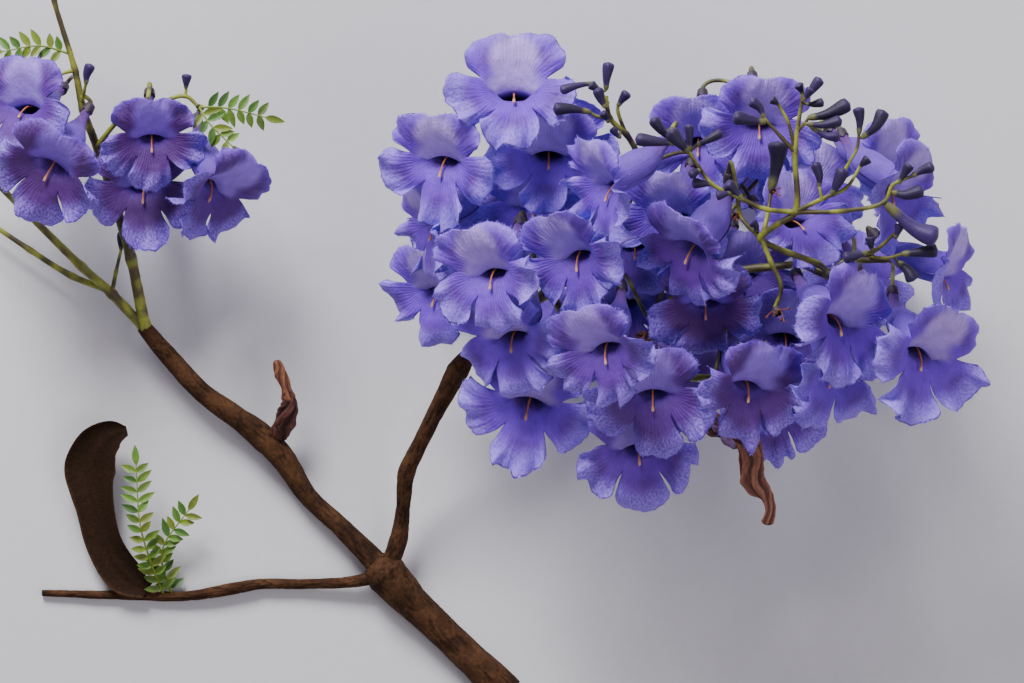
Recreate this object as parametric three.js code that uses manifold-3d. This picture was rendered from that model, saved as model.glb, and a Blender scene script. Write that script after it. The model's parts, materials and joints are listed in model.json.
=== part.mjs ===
// A cut branch of a jacaranda tree in full flower, laid flat on the ground: a woody branch with
// a side arm, a dry seed pod, green flower stalks with dark buds, and each large bloom by itself.
// Millimetres. X runs to the right of the picture, Y up the picture, and Z up from the ground.
import * as THREE from "three";
import Module from "manifold-3d";

const wasm = await Module();
wasm.setup();

// The picture looks straight down on the branch. A spot is given by its pixel and its height.
const PICTURE_WIDTH = 1024;
const PICTURE_HEIGHT = 683;
const PICTURE_SPAN = 330; // real width that the picture shows at the height of the flowers
const FLOWER_HEIGHT = 80;
const EYE_HEIGHT = 1900;

// Clearances between neighbouring pieces.
const SEAT_GAP = 0.3;
const BLOOM_GAP = 0.6;
const STALK_GAP = 0.25; // at least this between a flower's own stalk and its neighbours
const GAP_ERROR = 1e-4;
const SETTLE_STEP = 1.5;
const SETTLE_DEPTH = 60; // how far back a bloom may go to come clear of what lies before it
const SETTLE_SHIFT = 4.5; // how far it may go sideways
const SHIFT_COST = 2; // a millimetre sideways counts as this many back
const LOWEST_MOUTH = 12;
const STALK_ROOM = 7; // free length kept behind each bloom's foot for its own stalk
const STALK_ROOM_RADIUS = 1.3;

// One bloom at its full size: a bent tube that swells to a bell, and five lobes round its mouth.
const TUBE_LENGTH = 31;
const TUBE_BEND = 45; // degrees that the tube turns toward the upper lobes, unless a bloom says more
const BEND_POWER = 1.7;
const TUBE_STEPS = 24;
const RIM_HALF_WIDTH = 10.4; // at the edges between the lobes
const RIM_HALF_HEIGHT = 9;
const RIM_DROP = 1.4; // the lower lip reaches out further than the upper
const BELL_HALF_WIDTH = 6.2;
const BELL_HALF_HEIGHT = 5.4;
const BELL_START = 0.17; // where the flare ends and the bell begins, as a share of the tube
const NECK_START = 0.45; // where the bell begins to narrow to the foot
const NECK_END = 0.88;
const BASE_RADIUS = 1.5;
const THROAT_SHARE = 0.82; // size of the hollow throat beside the bell round it
const BELL_STATIONS = [0.17, 0.58, 1];
const THROAT_END = 0.5;
const PETAL_THICKNESS = 0.55;
const PETAL_CUP = 0.14;
const LOBE_COLUMNS = [-1, -0.42, 0.42, 1];
const LOBE_ROUNDNESS = radians(100);
const LOBES = [
  { angle: radians(55), length: 9.6, width: 14.6, start: radians(62), end: radians(112) },
  { angle: radians(125), length: 9.6, width: 14.6, start: radians(62), end: radians(112) },
  { angle: radians(201), length: 10.6, width: 15.6, start: radians(56), end: radians(104) },
  { angle: radians(270), length: 12, width: 16.4, start: radians(52), end: radians(94) },
  { angle: radians(339), length: 10.6, width: 15.6, start: radians(56), end: radians(104) },
];
const LOBE_MIDDLE = 0.46; // where a lobe is widest, as a share of its length
const LOBE_SIDE_ROW = 0.5; // the row of corners between rim and edge, at its ends
const LOBE_THICK_ROW = 0.55; // and in between
const LENGTH_SPREAD = 0.08;
const BEND_SPREAD = radians(16);

// A flower's own stalk: its radii from the stem to the cup, and the ways it may leave the stem
// and arrive at the bloom, as shares of the distance.
const FOOTSTALK_SIDES = 3;
const FOOTSTALK_RADII = [0.9, 0.72, 0.7, 1.55];
const FOOTSTALK_ENDS = [[0.3, 0.45], [0.1, 0.3], [0.3, 0.8], [-0.2, 0.45], [0, 1.1]];
const DETOUR = 9;
const DETOUR_COST = 1.2;
const FOOTSTALK_DETOURS = [
  new THREE.Vector3(),
  ...[[1, 0, 0], [-1, 0, 0], [0, 1, 0], [0, -1, 0], [0, 0, 1], [0, 0, -1]].map((way) =>
    new THREE.Vector3(...way).multiplyScalar(DETOUR),
  ),
];
const JOINT_SPACING = 2.5;
const JOINT_END = 0.5; // free length past the last joint, in spacings
const CUP_JOINTS = 2; // joints left out at a bloom's cup

const LEAFLET_LENGTH = 6.8;
const LEAFLET_WIDTH = 3.2;
const LEAFLET_THICKNESS = 0.5;
const LEAFLET_SPACING = 10;
const LEAFLET_WIDEST = 0.45; // where a leaflet is widest, as a share of its length
const LEAFLET_SWEEP = 0.6; // how far the pairs point along the midrib
const LEAFLET_END = 0.4; // free length past the last pair, in spacings
const LEAFLET_SUNK = 1; // how far the leaflet at the end is sunk into the midrib
const RIB_RADIUS = 0.62;
const RIB_STEPS = 6;

const LIMB_TOLERANCE = 0.18; // how far a finished limb may be simplified
const WELD = 0.01; // corners closer than this become one
const PARALLEL = 0.95; // two ways this alike, as a cosine, count as parallel
const NEAREST_STEPS = 12; // places looked at for each point of a run
const SPAN_STEPS = 2;
const STALK_SIDES = 5;
const BRANCHLET_SIDES = 3;
const BUD_SIDES = 4;
const BUD_SHAPE = [0.6, 1.05]; // its width at foot and tip
const BUD_LIFT = 1; // how much nearer to the eye its tip is
const BUD_STALK_RADIUS = 0.5;
const BUD_TOUCH = 0.7; // nearer to its stem than this, a bud needs no stalk

const COLOURS = {
  bark: { color: 0x6b503c, roughness: 0.9 },
  green: { color: 0x75803a, roughness: 0.7 },
  petal: { color: 0x7668cd, roughness: 0.6 },
  pod: { color: 0x2d1c10, roughness: 0.85 },
  dry: { color: 0x5f372d, roughness: 0.85 },
};

// Limbs: each is a tapering run of [pixel across, pixel down, height, diameter].
const WOOD = {
  main_branch: {
    on: [],
    sides: 10,
    run: [[508, 694, 6.6, 11.8], [452, 640, 6.6, 10.4], [412, 602, 7.2, 11.4], [386, 574, 8, 14.4],
      [374, 562, 8, 9]],
  },
  left_arm: {
    on: ["main_branch"],
    sides: 8,
    run: [[384, 570, 8, 8.2], [340, 526, 7.2, 6.5], [308, 496, 7.2, 6.4], [284, 460, 8, 8.4],
      [266, 440, 8.6, 9.4], [236, 417, 8.6, 7.4], [204, 394, 9.4, 6.8], [165, 352, 11, 6.2],
      [143, 326, 12, 5]],
  },
  flower_shoot: {
    on: ["main_branch"],
    sides: 8,
    run: [[388, 568, 8, 6.4], [399, 538, 10, 6.2], [403, 508, 14, 4.7], [407, 472, 20, 6],
      [420, 444, 25, 5.2], [440, 404, 33, 5.8], [458, 370, 40, 7.4], [468, 356, 43, 5.4]],
  },
  low_twig: {
    on: ["main_branch"],
    sides: 7,
    run: [[382, 576, 8, 5], [350, 582, 5, 3.9], [300, 584, 3.4, 3.4], [262, 584, 3.2, 3.6],
      [225, 590, 3.2, 4.2], [187, 596, 3, 3.4], [110, 595, 2.4, 3], [42, 593, 2, 2.2]],
  },
  dried_stub: {
    on: ["left_arm"],
    sides: 6,
    colour: "dry",
    run: [[276, 440, 9, 4.6], [285, 421, 14, 7.6], [289, 402, 18, 5.2], [286, 388, 20, 3.2],
      [280, 371, 21, 4.2], [276, 360, 22, 2]],
  },
};

const STALKS = {
  flower_stem: {
    on: ["flower_shoot"],
    run: [[464, 362, 41, 4.6], [505, 322, 52, 4], [548, 292, 50, 3.6], [590, 262, 55, 3.3],
      [622, 215, 59, 2.9], [640, 165, 63, 2.2]],
  },
  right_stem: {
    on: ["flower_stem"],
    run: [[590, 262, 55, 3], [640, 274, 57, 2.9], [700, 272, 59, 2.7], [760, 268, 63, 2.5],
      [820, 262, 65, 2.2], [886, 260, 65, 1.7]],
  },
  lower_stem: {
    on: ["flower_stem"],
    run: [[548, 292, 50, 3], [590, 345, 47, 2.7], [640, 372, 48, 2.5], [700, 378, 49, 2.2],
      [748, 370, 50, 1.7]],
  },
  upper_stem: {
    on: ["right_stem"],
    run: [[700, 272, 59, 2.6], [718, 232, 61, 2.4], [735, 190, 62, 2.2], [765, 162, 63, 2],
      [812, 150, 63, 1.6]],
  },
  left_stem: {
    on: ["flower_stem"],
    run: [[562, 282, 51, 2.8], [536, 244, 53, 2.5], [514, 204, 55, 2.2], [510, 160, 59, 1.7]],
  },
  bud_stem_left: {
    on: ["flower_stem"],
    run: [[640, 172, 62, 2.4], [640, 160, 80, 2], [626, 134, 96, 1.9], [610, 118, 100, 1.7],
      [606, 96, 100, 1.2]],
  },
  bud_stem_right: {
    on: ["right_stem"],
    run: [[800, 263, 64, 2.4], [828, 276, 80, 2.2], [818, 264, 98, 2], [761, 238, 110, 2.2],
      [778, 224, 113, 2], [795, 212, 115, 2.1], [795, 150, 118, 1.7], [803, 94, 118, 1.1]],
  },
  left_flower_stalk: {
    on: ["left_arm"],
    run: [[145, 328, 12, 4], [131, 258, 20, 3.4], [116, 207, 27, 3.1], [99, 153, 33, 2.9],
      [83, 109, 37, 2.6], [75, 70, 40, 2], [54, 0, 44, 1.7], [50, -24, 44, 1.2]],
  },
  left_side_stalk: {
    on: ["left_arm", "left_flower_stalk"],
    run: [[146, 330, 12, 3.6], [112, 294, 15, 3.2], [82, 267, 18, 2.8], [20, 206, 22, 2.3],
      [-24, 164, 24, 1.6]],
  },
};

// Thinner stalks that are one piece with the stem named, and the buds at their ends. A bud is
// [foot across, foot down, tip across, tip down, height, width].
const BRANCHLETS = {
  bud_stem_left: [
    [[626, 134, 96, 1.4], [618, 112, 100, 1.2], [618, 104, 101, 1]],
    [[610, 118, 100, 1.3], [596, 116, 100, 1.1], [590, 112, 100, 1]],
    [[608, 104, 100, 1.2], [600, 90, 101, 1], [594, 83, 102, 1]],
    [[640, 150, 88, 1.4], [628, 158, 92, 1.2], [622, 168, 94, 1.2]],
  ],
  bud_stem_right: [
    [[795, 212, 115, 1.8], [765, 209, 116, 1.5], [742, 199, 117, 1.4], [712, 184, 117, 1.3],
      [698, 166, 117, 1.3], [688, 152, 117, 1.2], [672, 140, 117, 1]],
    [[795, 212, 115, 1.8], [842, 211, 117, 1.5], [884, 202, 118, 1.4], [893, 185, 119, 1.2],
      [912, 176, 119, 1]],
    [[795, 212, 115, 1.7], [824, 198, 118, 1.4], [846, 188, 119, 1.2], [857, 172, 119, 1],
      [860, 166, 119, 0.9]],
    [[832, 196, 118, 1.2], [846, 168, 120, 1.1], [857, 148, 120, 1.1], [859, 134, 120, 1]],
    [[763, 236, 110, 1.8], [768, 212, 108, 1.4], [771, 190, 106, 1.2]],
    [[761, 238, 110, 1.8], [771, 262, 110, 1.6], [781, 288, 108, 1.4], [775, 308, 106, 1.2]],
    [[761, 238, 110, 1.7], [748, 226, 104, 1.4], [738, 214, 100, 1.2]],
    [[795, 152, 118, 1.5], [782, 138, 119, 1.2], [764, 118, 119, 1]],
    [[795, 150, 118, 1.3], [788, 122, 119, 1.1], [778, 104, 119, 1]],
    [[797, 132, 118, 1.3], [804, 124, 119, 1.1], [810, 116, 119, 1]],
    [[822, 200, 118, 1.2], [820, 190, 119, 1], [819, 186, 119, 1]],
    [[826, 274, 84, 1.8], [850, 258, 100, 1.4], [876, 250, 110, 1.3], [896, 232, 113, 1.1]],
    [[862, 255, 105, 1.3], [886, 258, 111, 1.1], [902, 254, 113, 1]],
  ],
  left_flower_stalk: [
    [[97, 146, 34, 2], [124, 116, 42, 1.6], [158, 104, 46, 1.5], [185, 96, 48, 1.4],
      [200, 108, 48, 1.1]],
    [[75, 70, 40, 1.6], [64, 73, 41, 1.2], [60, 75, 41, 1]],
    [[82, 104, 37, 1.6], [84, 92, 42, 1.2], [86, 84, 43, 1]],
    [[185, 96, 48, 1.2], [186, 92, 48, 1], [186, 88, 48, 1]],
  ],
  left_side_stalk: [
    [[108, 290, 15, 2.4], [72, 276, 13, 2.2], [30, 250, 11, 1.9], [-26, 212, 9, 1.4]],
    [[112, 293, 15, 1.6], [116, 272, 18, 1.3], [121, 250, 20, 1]],
  ],
};

const BUDS = {
  bud_stem_left: [
    [606, 90, 609, 62, 100, 3.6], [600, 92, 590, 84, 104, 3], [594, 83, 560, 91, 102, 3],
    [618, 106, 628, 92, 101, 3.2], [590, 112, 553, 109, 100, 3.9], [606, 108, 597, 88, 105, 3.4],
    [608, 122, 602, 112, 104, 2.6], [620, 138, 612, 128, 100, 2.6],
  ],
  bud_stem_right: [
    [803, 94, 798, 84, 118, 3], [806, 98, 821, 78, 119, 3.4], [804, 100, 811, 88, 121, 2.6],
    [806, 104, 824, 102, 118, 2.8], [808, 118, 850, 103, 119, 4.6], [806, 124, 842, 120, 122, 3.4],
    [812, 128, 840, 137, 116, 3.2], [764, 118, 750, 100, 119, 3.4], [766, 122, 733, 117, 119, 4.2],
    [778, 104, 771, 99, 119, 2.6], [859, 134, 858, 107, 120, 3.6], [862, 138, 884, 110, 120, 4.2],
    [819, 186, 815, 162, 119, 3.2], [832, 194, 844, 168, 120, 4], [860, 166, 869, 158, 119, 3],
    [771, 190, 778, 141, 106, 6.2], [892, 192, 924, 190, 119, 4], [898, 184, 910, 164, 119, 3.2],
    [912, 176, 934, 166, 119, 3.4], [886, 204, 938, 238, 118, 6.4], [742, 199, 726, 183, 117, 4],
    [730, 193, 716, 196, 120, 3], [712, 184, 692, 183, 117, 3.2], [700, 170, 690, 176, 120, 3],
    [672, 140, 652, 118, 117, 3.6], [676, 143, 635, 139, 120, 4], [688, 152, 670, 130, 120, 4.4],
    [690, 150, 689, 124, 117, 2.8], [696, 146, 722, 132, 114, 3], [868, 252, 843, 258, 112, 3.6],
    [872, 250, 870, 237, 114, 3.2], [896, 238, 900, 224, 114, 3], [902, 254, 938, 250, 113, 4.2],
    [898, 262, 914, 281, 109, 4.4], [757, 232, 752, 222, 109, 2.8],
  ],
  left_flower_stalk: [
    [60, 75, 50, 80, 41, 3.2], [86, 84, 91, 64, 43, 3.4], [186, 88, 187, 74, 48, 3.2],
    [50, -22, 46, -42, 44, 3.6], [52, -14, 66, -30, 45, 3.2],
  ],
  left_side_stalk: [
    [-22, 166, -42, 150, 24, 3.6], [-18, 170, -22, 146, 25, 3], [-24, 214, -46, 202, 9, 3.4],
    [121, 250, 122, 232, 20, 2.8],
  ],
};

// Flattened shapes, thin in height and wide across: each place in a run is [pixel across, pixel
// down, height, width]. One that hangs has a stalk of its own, as the blooms have.
const FLAT = {
  seed_pod: {
    on: ["low_twig"],
    colour: "pod",
    sides: 7,
    flatness: 0.34,
    run: [[127, 431, 12, 3], [114, 434, 11.6, 10], [99, 446, 10.6, 15.4], [91, 470, 9, 18],
      [96, 508, 8, 12.8], [106, 546, 7, 12.8], [126, 576, 6.4, 13.6], [148, 590, 6, 6]],
  },
  dried_flower: {
    on: [],
    hangs: true,
    colour: "dry",
    sides: 5,
    flatness: 0.4,
    run: [[709, 400, 84, 2], [705, 418, 84, 8.4], [724, 431, 84, 5.4], [746, 441, 83, 7.6],
      [751, 458, 82, 7.2], [753, 480, 80, 7.8], [767, 497, 78, 3.8], [770, 511, 77, 3.2],
      [766, 525, 76, 4]],
  },
};

// Feathery leaves, one piece with the stem named: [pixel, pixel, height] along the midrib.
const LEAVES = {
  left_flower_stalk: [
    [[199, 107, 48], [226, 108, 50], [268, 118, 49]],
    [[199, 107, 48], [210, 124, 52], [234, 148, 52]],
    [[70, 54, 41], [40, 46, 44], [0, 52, 44]],
  ],
  low_twig: [
    [[172, 596, 3], [162, 552, 8], [190, 508, 12]],
    [[164, 596, 3], [150, 560, 12], [140, 524, 17], [136, 462, 16]],
  ],
};

// Blooms: the pixel and height of the mouth, where it looks (right, up, out of the picture), the
// side of the picture that its two upper lobes lie on in degrees from the right, its size, and
// how far its tube bends.
const BLOOMS = [
  bloom("bloom_front_low", 597, 347, 112, [-0.42, -0.46, 0.78], 106, 0.98),
  bloom("bloom_front_side_tube", 600, 182, 112, [-0.86, -0.3, 0.4], 80, 1, 42),
  bloom("bloom_front_arched", 684, 248, 108, [-0.62, -0.5, 0.55], 64, 1, 85),
  bloom("bloom_front_right", 850, 316, 108, [0.64, -0.2, 0.74], 62, 1.06),
  bloom("bloom_right_low", 932, 352, 104, [0.5, -0.4, 0.77], 66, 1.08),
  bloom("bloom_front_middle", 568, 254, 104, [-0.54, -0.42, 0.73], 106, 0.98),
  bloom("bloom_front_inner", 669, 212, 98, [-0.3, -0.34, 0.89], 86, 0.96),
  bloom("bloom_centre_low", 706, 302, 98, [0.02, -0.4, 0.91], 90, 0.96),
  bloom("bloom_left_middle", 484, 270, 104, [-0.48, -0.3, 0.82], 100, 1),
  bloom("bloom_front_base", 742, 380, 104, [0.36, -0.42, 0.83], 76, 1),
  bloom("bloom_low_middle", 652, 392, 97, [-0.04, -0.36, 0.93], 92, 1.02),
  bloom("bloom_left_low", 504, 334, 96, [-0.45, -0.38, 0.81], 102, 1),
  bloom("bloom_top", 514, 82, 96, [0, 0.28, 0.96], 90, 1.06),
  bloom("bloom_top_second", 540, 136, 84, [0.02, -0.16, 0.98], 88, 0.96),
  bloom("bloom_left_upper", 438, 158, 88, [-0.42, -0.34, 0.84], 84, 1),
  bloom("bloom_left_edge", 428, 222, 80, [-0.9, -0.32, 0.3], 82, 1, 44),
  bloom("bloom_left_edge_low", 420, 284, 76, [-0.6, -0.3, 0.66], 82, 0.96, 55),
  bloom("bloom_base_left", 528, 400, 86, [-0.14, -0.36, 0.92], 80, 1.1),
  bloom("bloom_base_hanging", 638, 446, 84, [-0.04, -0.32, 0.94], 94, 1.02),
  bloom("bloom_right_edge", 953, 275, 88, [0.9, -0.2, 0.34], 76, 0.98, 36),
  bloom("bloom_right_hanging", 842, 374, 88, [0.42, -0.6, 0.6], 66, 0.98, 80),
  bloom("bloom_right_upper", 904, 202, 96, [0.72, -0.4, 0.5], 62, 1.02, 35),
  bloom("bloom_right_back", 890, 160, 78, [0.66, -0.1, 0.6], 94, 0.94, 50),
  bloom("bloom_inner_cup", 800, 226, 84, [0.5, 0.2, 0.84], 100, 0.92, 60),
  bloom("bloom_upper_left", 692, 138, 82, [-0.12, -0.3, 0.94], 92, 0.96),
  bloom("bloom_upper_right", 757, 120, 80, [0.1, -0.28, 0.95], 86, 0.98),
  bloom("bloom_inner_left", 526, 188, 78, [-0.16, -0.34, 0.92], 94, 0.96),
  bloom("bloom_inner_dark", 622, 230, 84, [-0.2, -0.3, 0.9], 100, 0.88),
  bloom("bloom_base_right", 776, 408, 84, [0.12, -0.46, 0.82], 86, 0.92),
  bloom("bloom_middle_back", 744, 272, 76, [0.1, -0.3, 0.94], 90, 1),
  bloom("bloom_centre_back", 786, 330, 80, [0.2, -0.3, 0.93], 80, 1),
  bloom("bloom_middle_left", 622, 300, 80, [-0.1, -0.3, 0.95], 96, 1),
  bloom("bloom_right_inner", 812, 182, 70, [0.3, 0.16, 0.94], 84, 1),
  bloom("bloom_far_left_top", 143, 122, 52, [0.1, -0.34, 0.93], 90, 0.88),
  bloom("bloom_far_left_middle", 142, 180, 46, [-0.06, -0.3, 0.95], 90, 1),
  bloom("bloom_far_left_low", 50, 166, 60, [-0.3, -0.5, 0.8], 62, 1, 40),
  bloom("bloom_far_left_hanging", 224, 180, 48, [0.5, -0.64, 0.5], 44, 1, 40),
  bloom("bloom_far_left_edge", 30, 108, 50, [-0.4, 0.1, 0.9], 84, 0.96),
  bloom("bloom_under_left", 466, 214, 13, [-0.5, -0.2, -0.85], 96, 1),
  bloom("bloom_under_top", 560, 140, 15, [-0.1, 0.3, -0.95], 90, 1),
  bloom("bloom_under_low", 560, 330, 13, [-0.3, -0.4, -0.85], 100, 1),
  bloom("bloom_under_base", 690, 352, 13, [0.05, -0.5, -0.85], 88, 1),
  bloom("bloom_under_upper", 742, 150, 15, [0.05, 0.35, -0.92], 84, 1),
  bloom("bloom_under_edge", 860, 276, 16, [0.35, -0.25, -0.88], 76, 1),
];

function bloom(name, across, down, height, look, lip, size, bend = TUBE_BEND) {
  return {
    name,
    across,
    down,
    height,
    look: new THREE.Vector3(...look),
    lip: radians(lip),
    size,
    bend: radians(bend),
  };
}

function radians(degrees) {
  return (degrees * Math.PI) / 180;
}

// The spot at a pixel and a height, along the ray from the eye above the picture's middle.
function place(across, down, height) {
  const reach = (EYE_HEIGHT - height) / (EYE_HEIGHT - FLOWER_HEIGHT);
  const scale = (PICTURE_SPAN / PICTURE_WIDTH) * reach;
  return new THREE.Vector3(
    (across - PICTURE_WIDTH / 2) * scale,
    (PICTURE_HEIGHT / 2 - down) * scale,
    height,
  );
}

// A repeatable run of numbers from 0 to 1.
function seeded(seed) {
  let state = seed * 7919 + 17;
  return () => {
    state = (state * 16807) % 2147483647;
    return state / 2147483647;
  };
}

// A closed solid from corner points and faces, turned so that its faces look out.
function solidFrom(points, faces) {
  let volume = 0;
  for (const [a, b, c] of faces) {
    volume += points[a].dot(points[b].clone().cross(points[c])) / 6;
  }
  const turned = volume < 0 ? faces.map(([a, b, c]) => [a, c, b]) : faces;
  const mesh = new wasm.Mesh({
    numProp: 3,
    vertProperties: new Float32Array(points.flatMap((p) => p.toArray())),
    triVerts: new Uint32Array(turned.flat()),
  });
  return new wasm.Manifold(mesh);
}

// A skin over rings of points, closed at each end by a point.
function loft(rings, first, last) {
  const count = rings[0].length;
  const points = [first, ...rings.flat(), last];
  const end = points.length - 1;
  const faces = [];
  for (let i = 0; i < count; i += 1) {
    const j = (i + 1) % count;
    faces.push([0, 1 + j, 1 + i]);
    for (let r = 0; r < rings.length - 1; r += 1) {
      const a = 1 + r * count;
      const b = a + count;
      faces.push([a + i, a + j, b + j], [a + i, b + j, b + i]);
    }
    const top = 1 + (rings.length - 1) * count;
    faces.push([end, top + i, top + j]);
  }
  return solidFrom(points, faces);
}

// Rings round a curve. radiusAt gives the ring's two half widths at a share of the length.
function ringsAlong(curve, steps, sides, radiusAt) {
  const rings = [];
  let side = new THREE.Vector3(0, 0, 1);
  for (let k = 0; k <= steps; k += 1) {
    const share = k / steps;
    const centre = curve.getPoint(share);
    const ahead = curve.getTangent(share);
    if (Math.abs(side.dot(ahead)) > PARALLEL) {
      side = new THREE.Vector3(1, 0, 0);
    }
    side = side.clone().addScaledVector(ahead, -side.dot(ahead)).normalize();
    const other = ahead.clone().cross(side);
    const [thick, wide] = radiusAt(share);
    const ring = [];
    for (let i = 0; i < sides; i += 1) {
      const turn = (i / sides) * 2 * Math.PI;
      const spot = centre.clone().addScaledVector(side, thick * Math.cos(turn));
      ring.push(spot.addScaledVector(other, wide * Math.sin(turn)));
    }
    rings.push(ring);
  }
  return rings;
}

function limbCurve(run) {
  return new THREE.CatmullRomCurve3(run.map(([across, down, height]) => place(across, down, height)));
}

function diameterAt(run, share) {
  const spot = share * (run.length - 1);
  const before = Math.min(Math.floor(spot), run.length - 2);
  return THREE.MathUtils.lerp(run[before][3], run[before + 1][3], spot - before);
}

// A tapering limb with flat ends. extra widens it all round and makes it longer at both ends.
function limb(run, sides, perSpan, extra = 0) {
  const curve = limbCurve(run);
  const steps = (run.length - 1) * perSpan;
  const rings = ringsAlong(curve, steps, sides, (share) => {
    const radius = diameterAt(run, share) / 2 + extra;
    return [radius, radius];
  });
  const backward = curve.getTangent(0).multiplyScalar(-extra);
  const forward = curve.getTangent(1).multiplyScalar(extra);
  rings[0] = rings[0].map((point) => point.clone().add(backward));
  rings[steps] = rings[steps].map((point) => point.clone().add(forward));
  return loft(rings, curve.getPoint(0).add(backward), curve.getPoint(1).add(forward));
}

// The place of a stem's runs that is nearest to a spot.
function nearestOn(runs, spot) {
  const spots = runs.flatMap((run) => limbCurve(run).getPoints(run.length * NEAREST_STEPS));
  return spots.sort((one, two) => one.distanceTo(spot) - two.distanceTo(spot))[0];
}

// A closed bud. Where its foot is away from the stem it has a short stalk of its own.
function bud([footAcross, footDown, tipAcross, tipDown, height, width], runs) {
  const foot = place(footAcross, footDown, height);
  const tip = place(tipAcross, tipDown, height + BUD_LIFT);
  const start = nearestOn(runs, foot);
  const spots = start.distanceTo(foot) < BUD_TOUCH ? [foot, tip] : [start, foot, tip];
  const radii = [BUD_STALK_RADIUS, ...BUD_SHAPE.map((share) => (share * width) / 2)];
  const own = radii.slice(-spots.length);
  const steps = spots.length - 1;
  const rings = ringsAlong(new THREE.CatmullRomCurve3(spots), steps, BUD_SIDES, (share) => {
    const radius = own[Math.round(share * steps)];
    return [radius, radius];
  });
  return loft(rings, spots[0], tip);
}

// A thin pointed leaflet of eight faces.
function leaflet(foot, tip, up) {
  const along = tip.clone().sub(foot);
  const across = along.clone().normalize().cross(up).multiplyScalar(LEAFLET_WIDTH / 2);
  const middle = foot.clone().addScaledVector(along, LEAFLET_WIDEST);
  const lift = up.clone().multiplyScalar(LEAFLET_THICKNESS / 2);
  const points = [
    foot, tip, middle.clone().add(across), middle.clone().sub(across),
    middle.clone().add(lift), middle.clone().sub(lift),
  ];
  const faces = [[0, 2, 4], [2, 1, 4], [1, 3, 4], [3, 0, 4], [2, 0, 5], [1, 2, 5], [3, 1, 5], [0, 3, 5]];
  return solidFrom(points, faces);
}

// A midrib with pairs of leaflets sunk into it, and one leaflet at its end.
function feather(run) {
  const curve = new THREE.CatmullRomCurve3(run.map((spot) => place(...spot)));
  const round = () => [RIB_RADIUS, RIB_RADIUS];
  const rings = ringsAlong(curve, RIB_STEPS, BRANCHLET_SIDES, round);
  const rib = loft(rings, curve.getPoint(0), curve.getPoint(1));
  const pairs = Math.floor(curve.getLength() / LEAFLET_SPACING);
  const up = new THREE.Vector3(0, 0, 1);
  let whole = rib;
  for (let k = 1; k <= pairs; k += 1) {
    const share = k / (pairs + LEAFLET_END);
    const middle = curve.getPointAt(share);
    const ahead = curve.getTangentAt(share);
    const out = ahead.clone().cross(up).normalize();
    for (const hand of [-1, 1]) {
      const way = out.clone().multiplyScalar(hand).addScaledVector(ahead, LEAFLET_SWEEP).normalize();
      const tip = middle.clone().addScaledVector(way, LEAFLET_LENGTH);
      whole = whole.add(leaflet(middle, tip, up));
    }
  }
  const ahead = curve.getTangentAt(1);
  const foot = curve.getPoint(1).addScaledVector(ahead, -LEAFLET_SUNK);
  return whole.add(leaflet(foot, foot.clone().addScaledVector(ahead, LEAFLET_LENGTH), up));
}

// The middle line of a bloom's tube in its own frame, where z points out of the mouth and y to
// the upper lobes. share is 0 at the mouth and 1 at the foot.
function tubeSpot(share, tubeBend) {
  const spot = new THREE.Vector3();
  const way = new THREE.Vector3();
  const piece = (share * TUBE_LENGTH) / TUBE_STEPS;
  for (let k = 0; k < TUBE_STEPS; k += 1) {
    const bend = tubeBend * (((k + 0.5) / TUBE_STEPS) * share) ** BEND_POWER;
    way.set(0, Math.sin(bend), -Math.cos(bend));
    spot.addScaledVector(way, piece);
  }
  const bend = tubeBend * share ** BEND_POWER;
  way.set(0, Math.sin(bend), -Math.cos(bend));
  return { spot, way, normal: new THREE.Vector3(0, Math.cos(bend), Math.sin(bend)) };
}

// A point of the tube's skin: flared at the rim, a flattened bell, then a round narrow foot.
function tubePoint(share, angle, scale, tubeBend) {
  const { spot, normal } = tubeSpot(share, tubeBend);
  const neck = THREE.MathUtils.smoothstep(share, NECK_START, NECK_END);
  const flare = Math.max(0, 1 - share / BELL_START) ** 2;
  const size = (bell, rim) =>
    THREE.MathUtils.lerp(THREE.MathUtils.lerp(bell, BASE_RADIUS, neck), rim, flare) * scale;
  const point = spot.clone();
  point.x += size(BELL_HALF_WIDTH, RIM_HALF_WIDTH) * Math.cos(angle);
  point.addScaledVector(normal, size(BELL_HALF_HEIGHT, RIM_HALF_HEIGHT) * Math.sin(angle));
  return point.addScaledVector(normal, -RIM_DROP * flare);
}

// The edges of a lobe at the mouth lie half way to its neighbours.
function lobeEdge(index, hand) {
  const near = LOBES[index].angle;
  let next = LOBES[(index + hand + LOBES.length) % LOBES.length].angle;
  if (hand > 0 && next < near) {
    next += 2 * Math.PI;
  }
  if (hand < 0 && next > near) {
    next -= 2 * Math.PI;
  }
  return (near + next) / 2;
}

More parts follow.
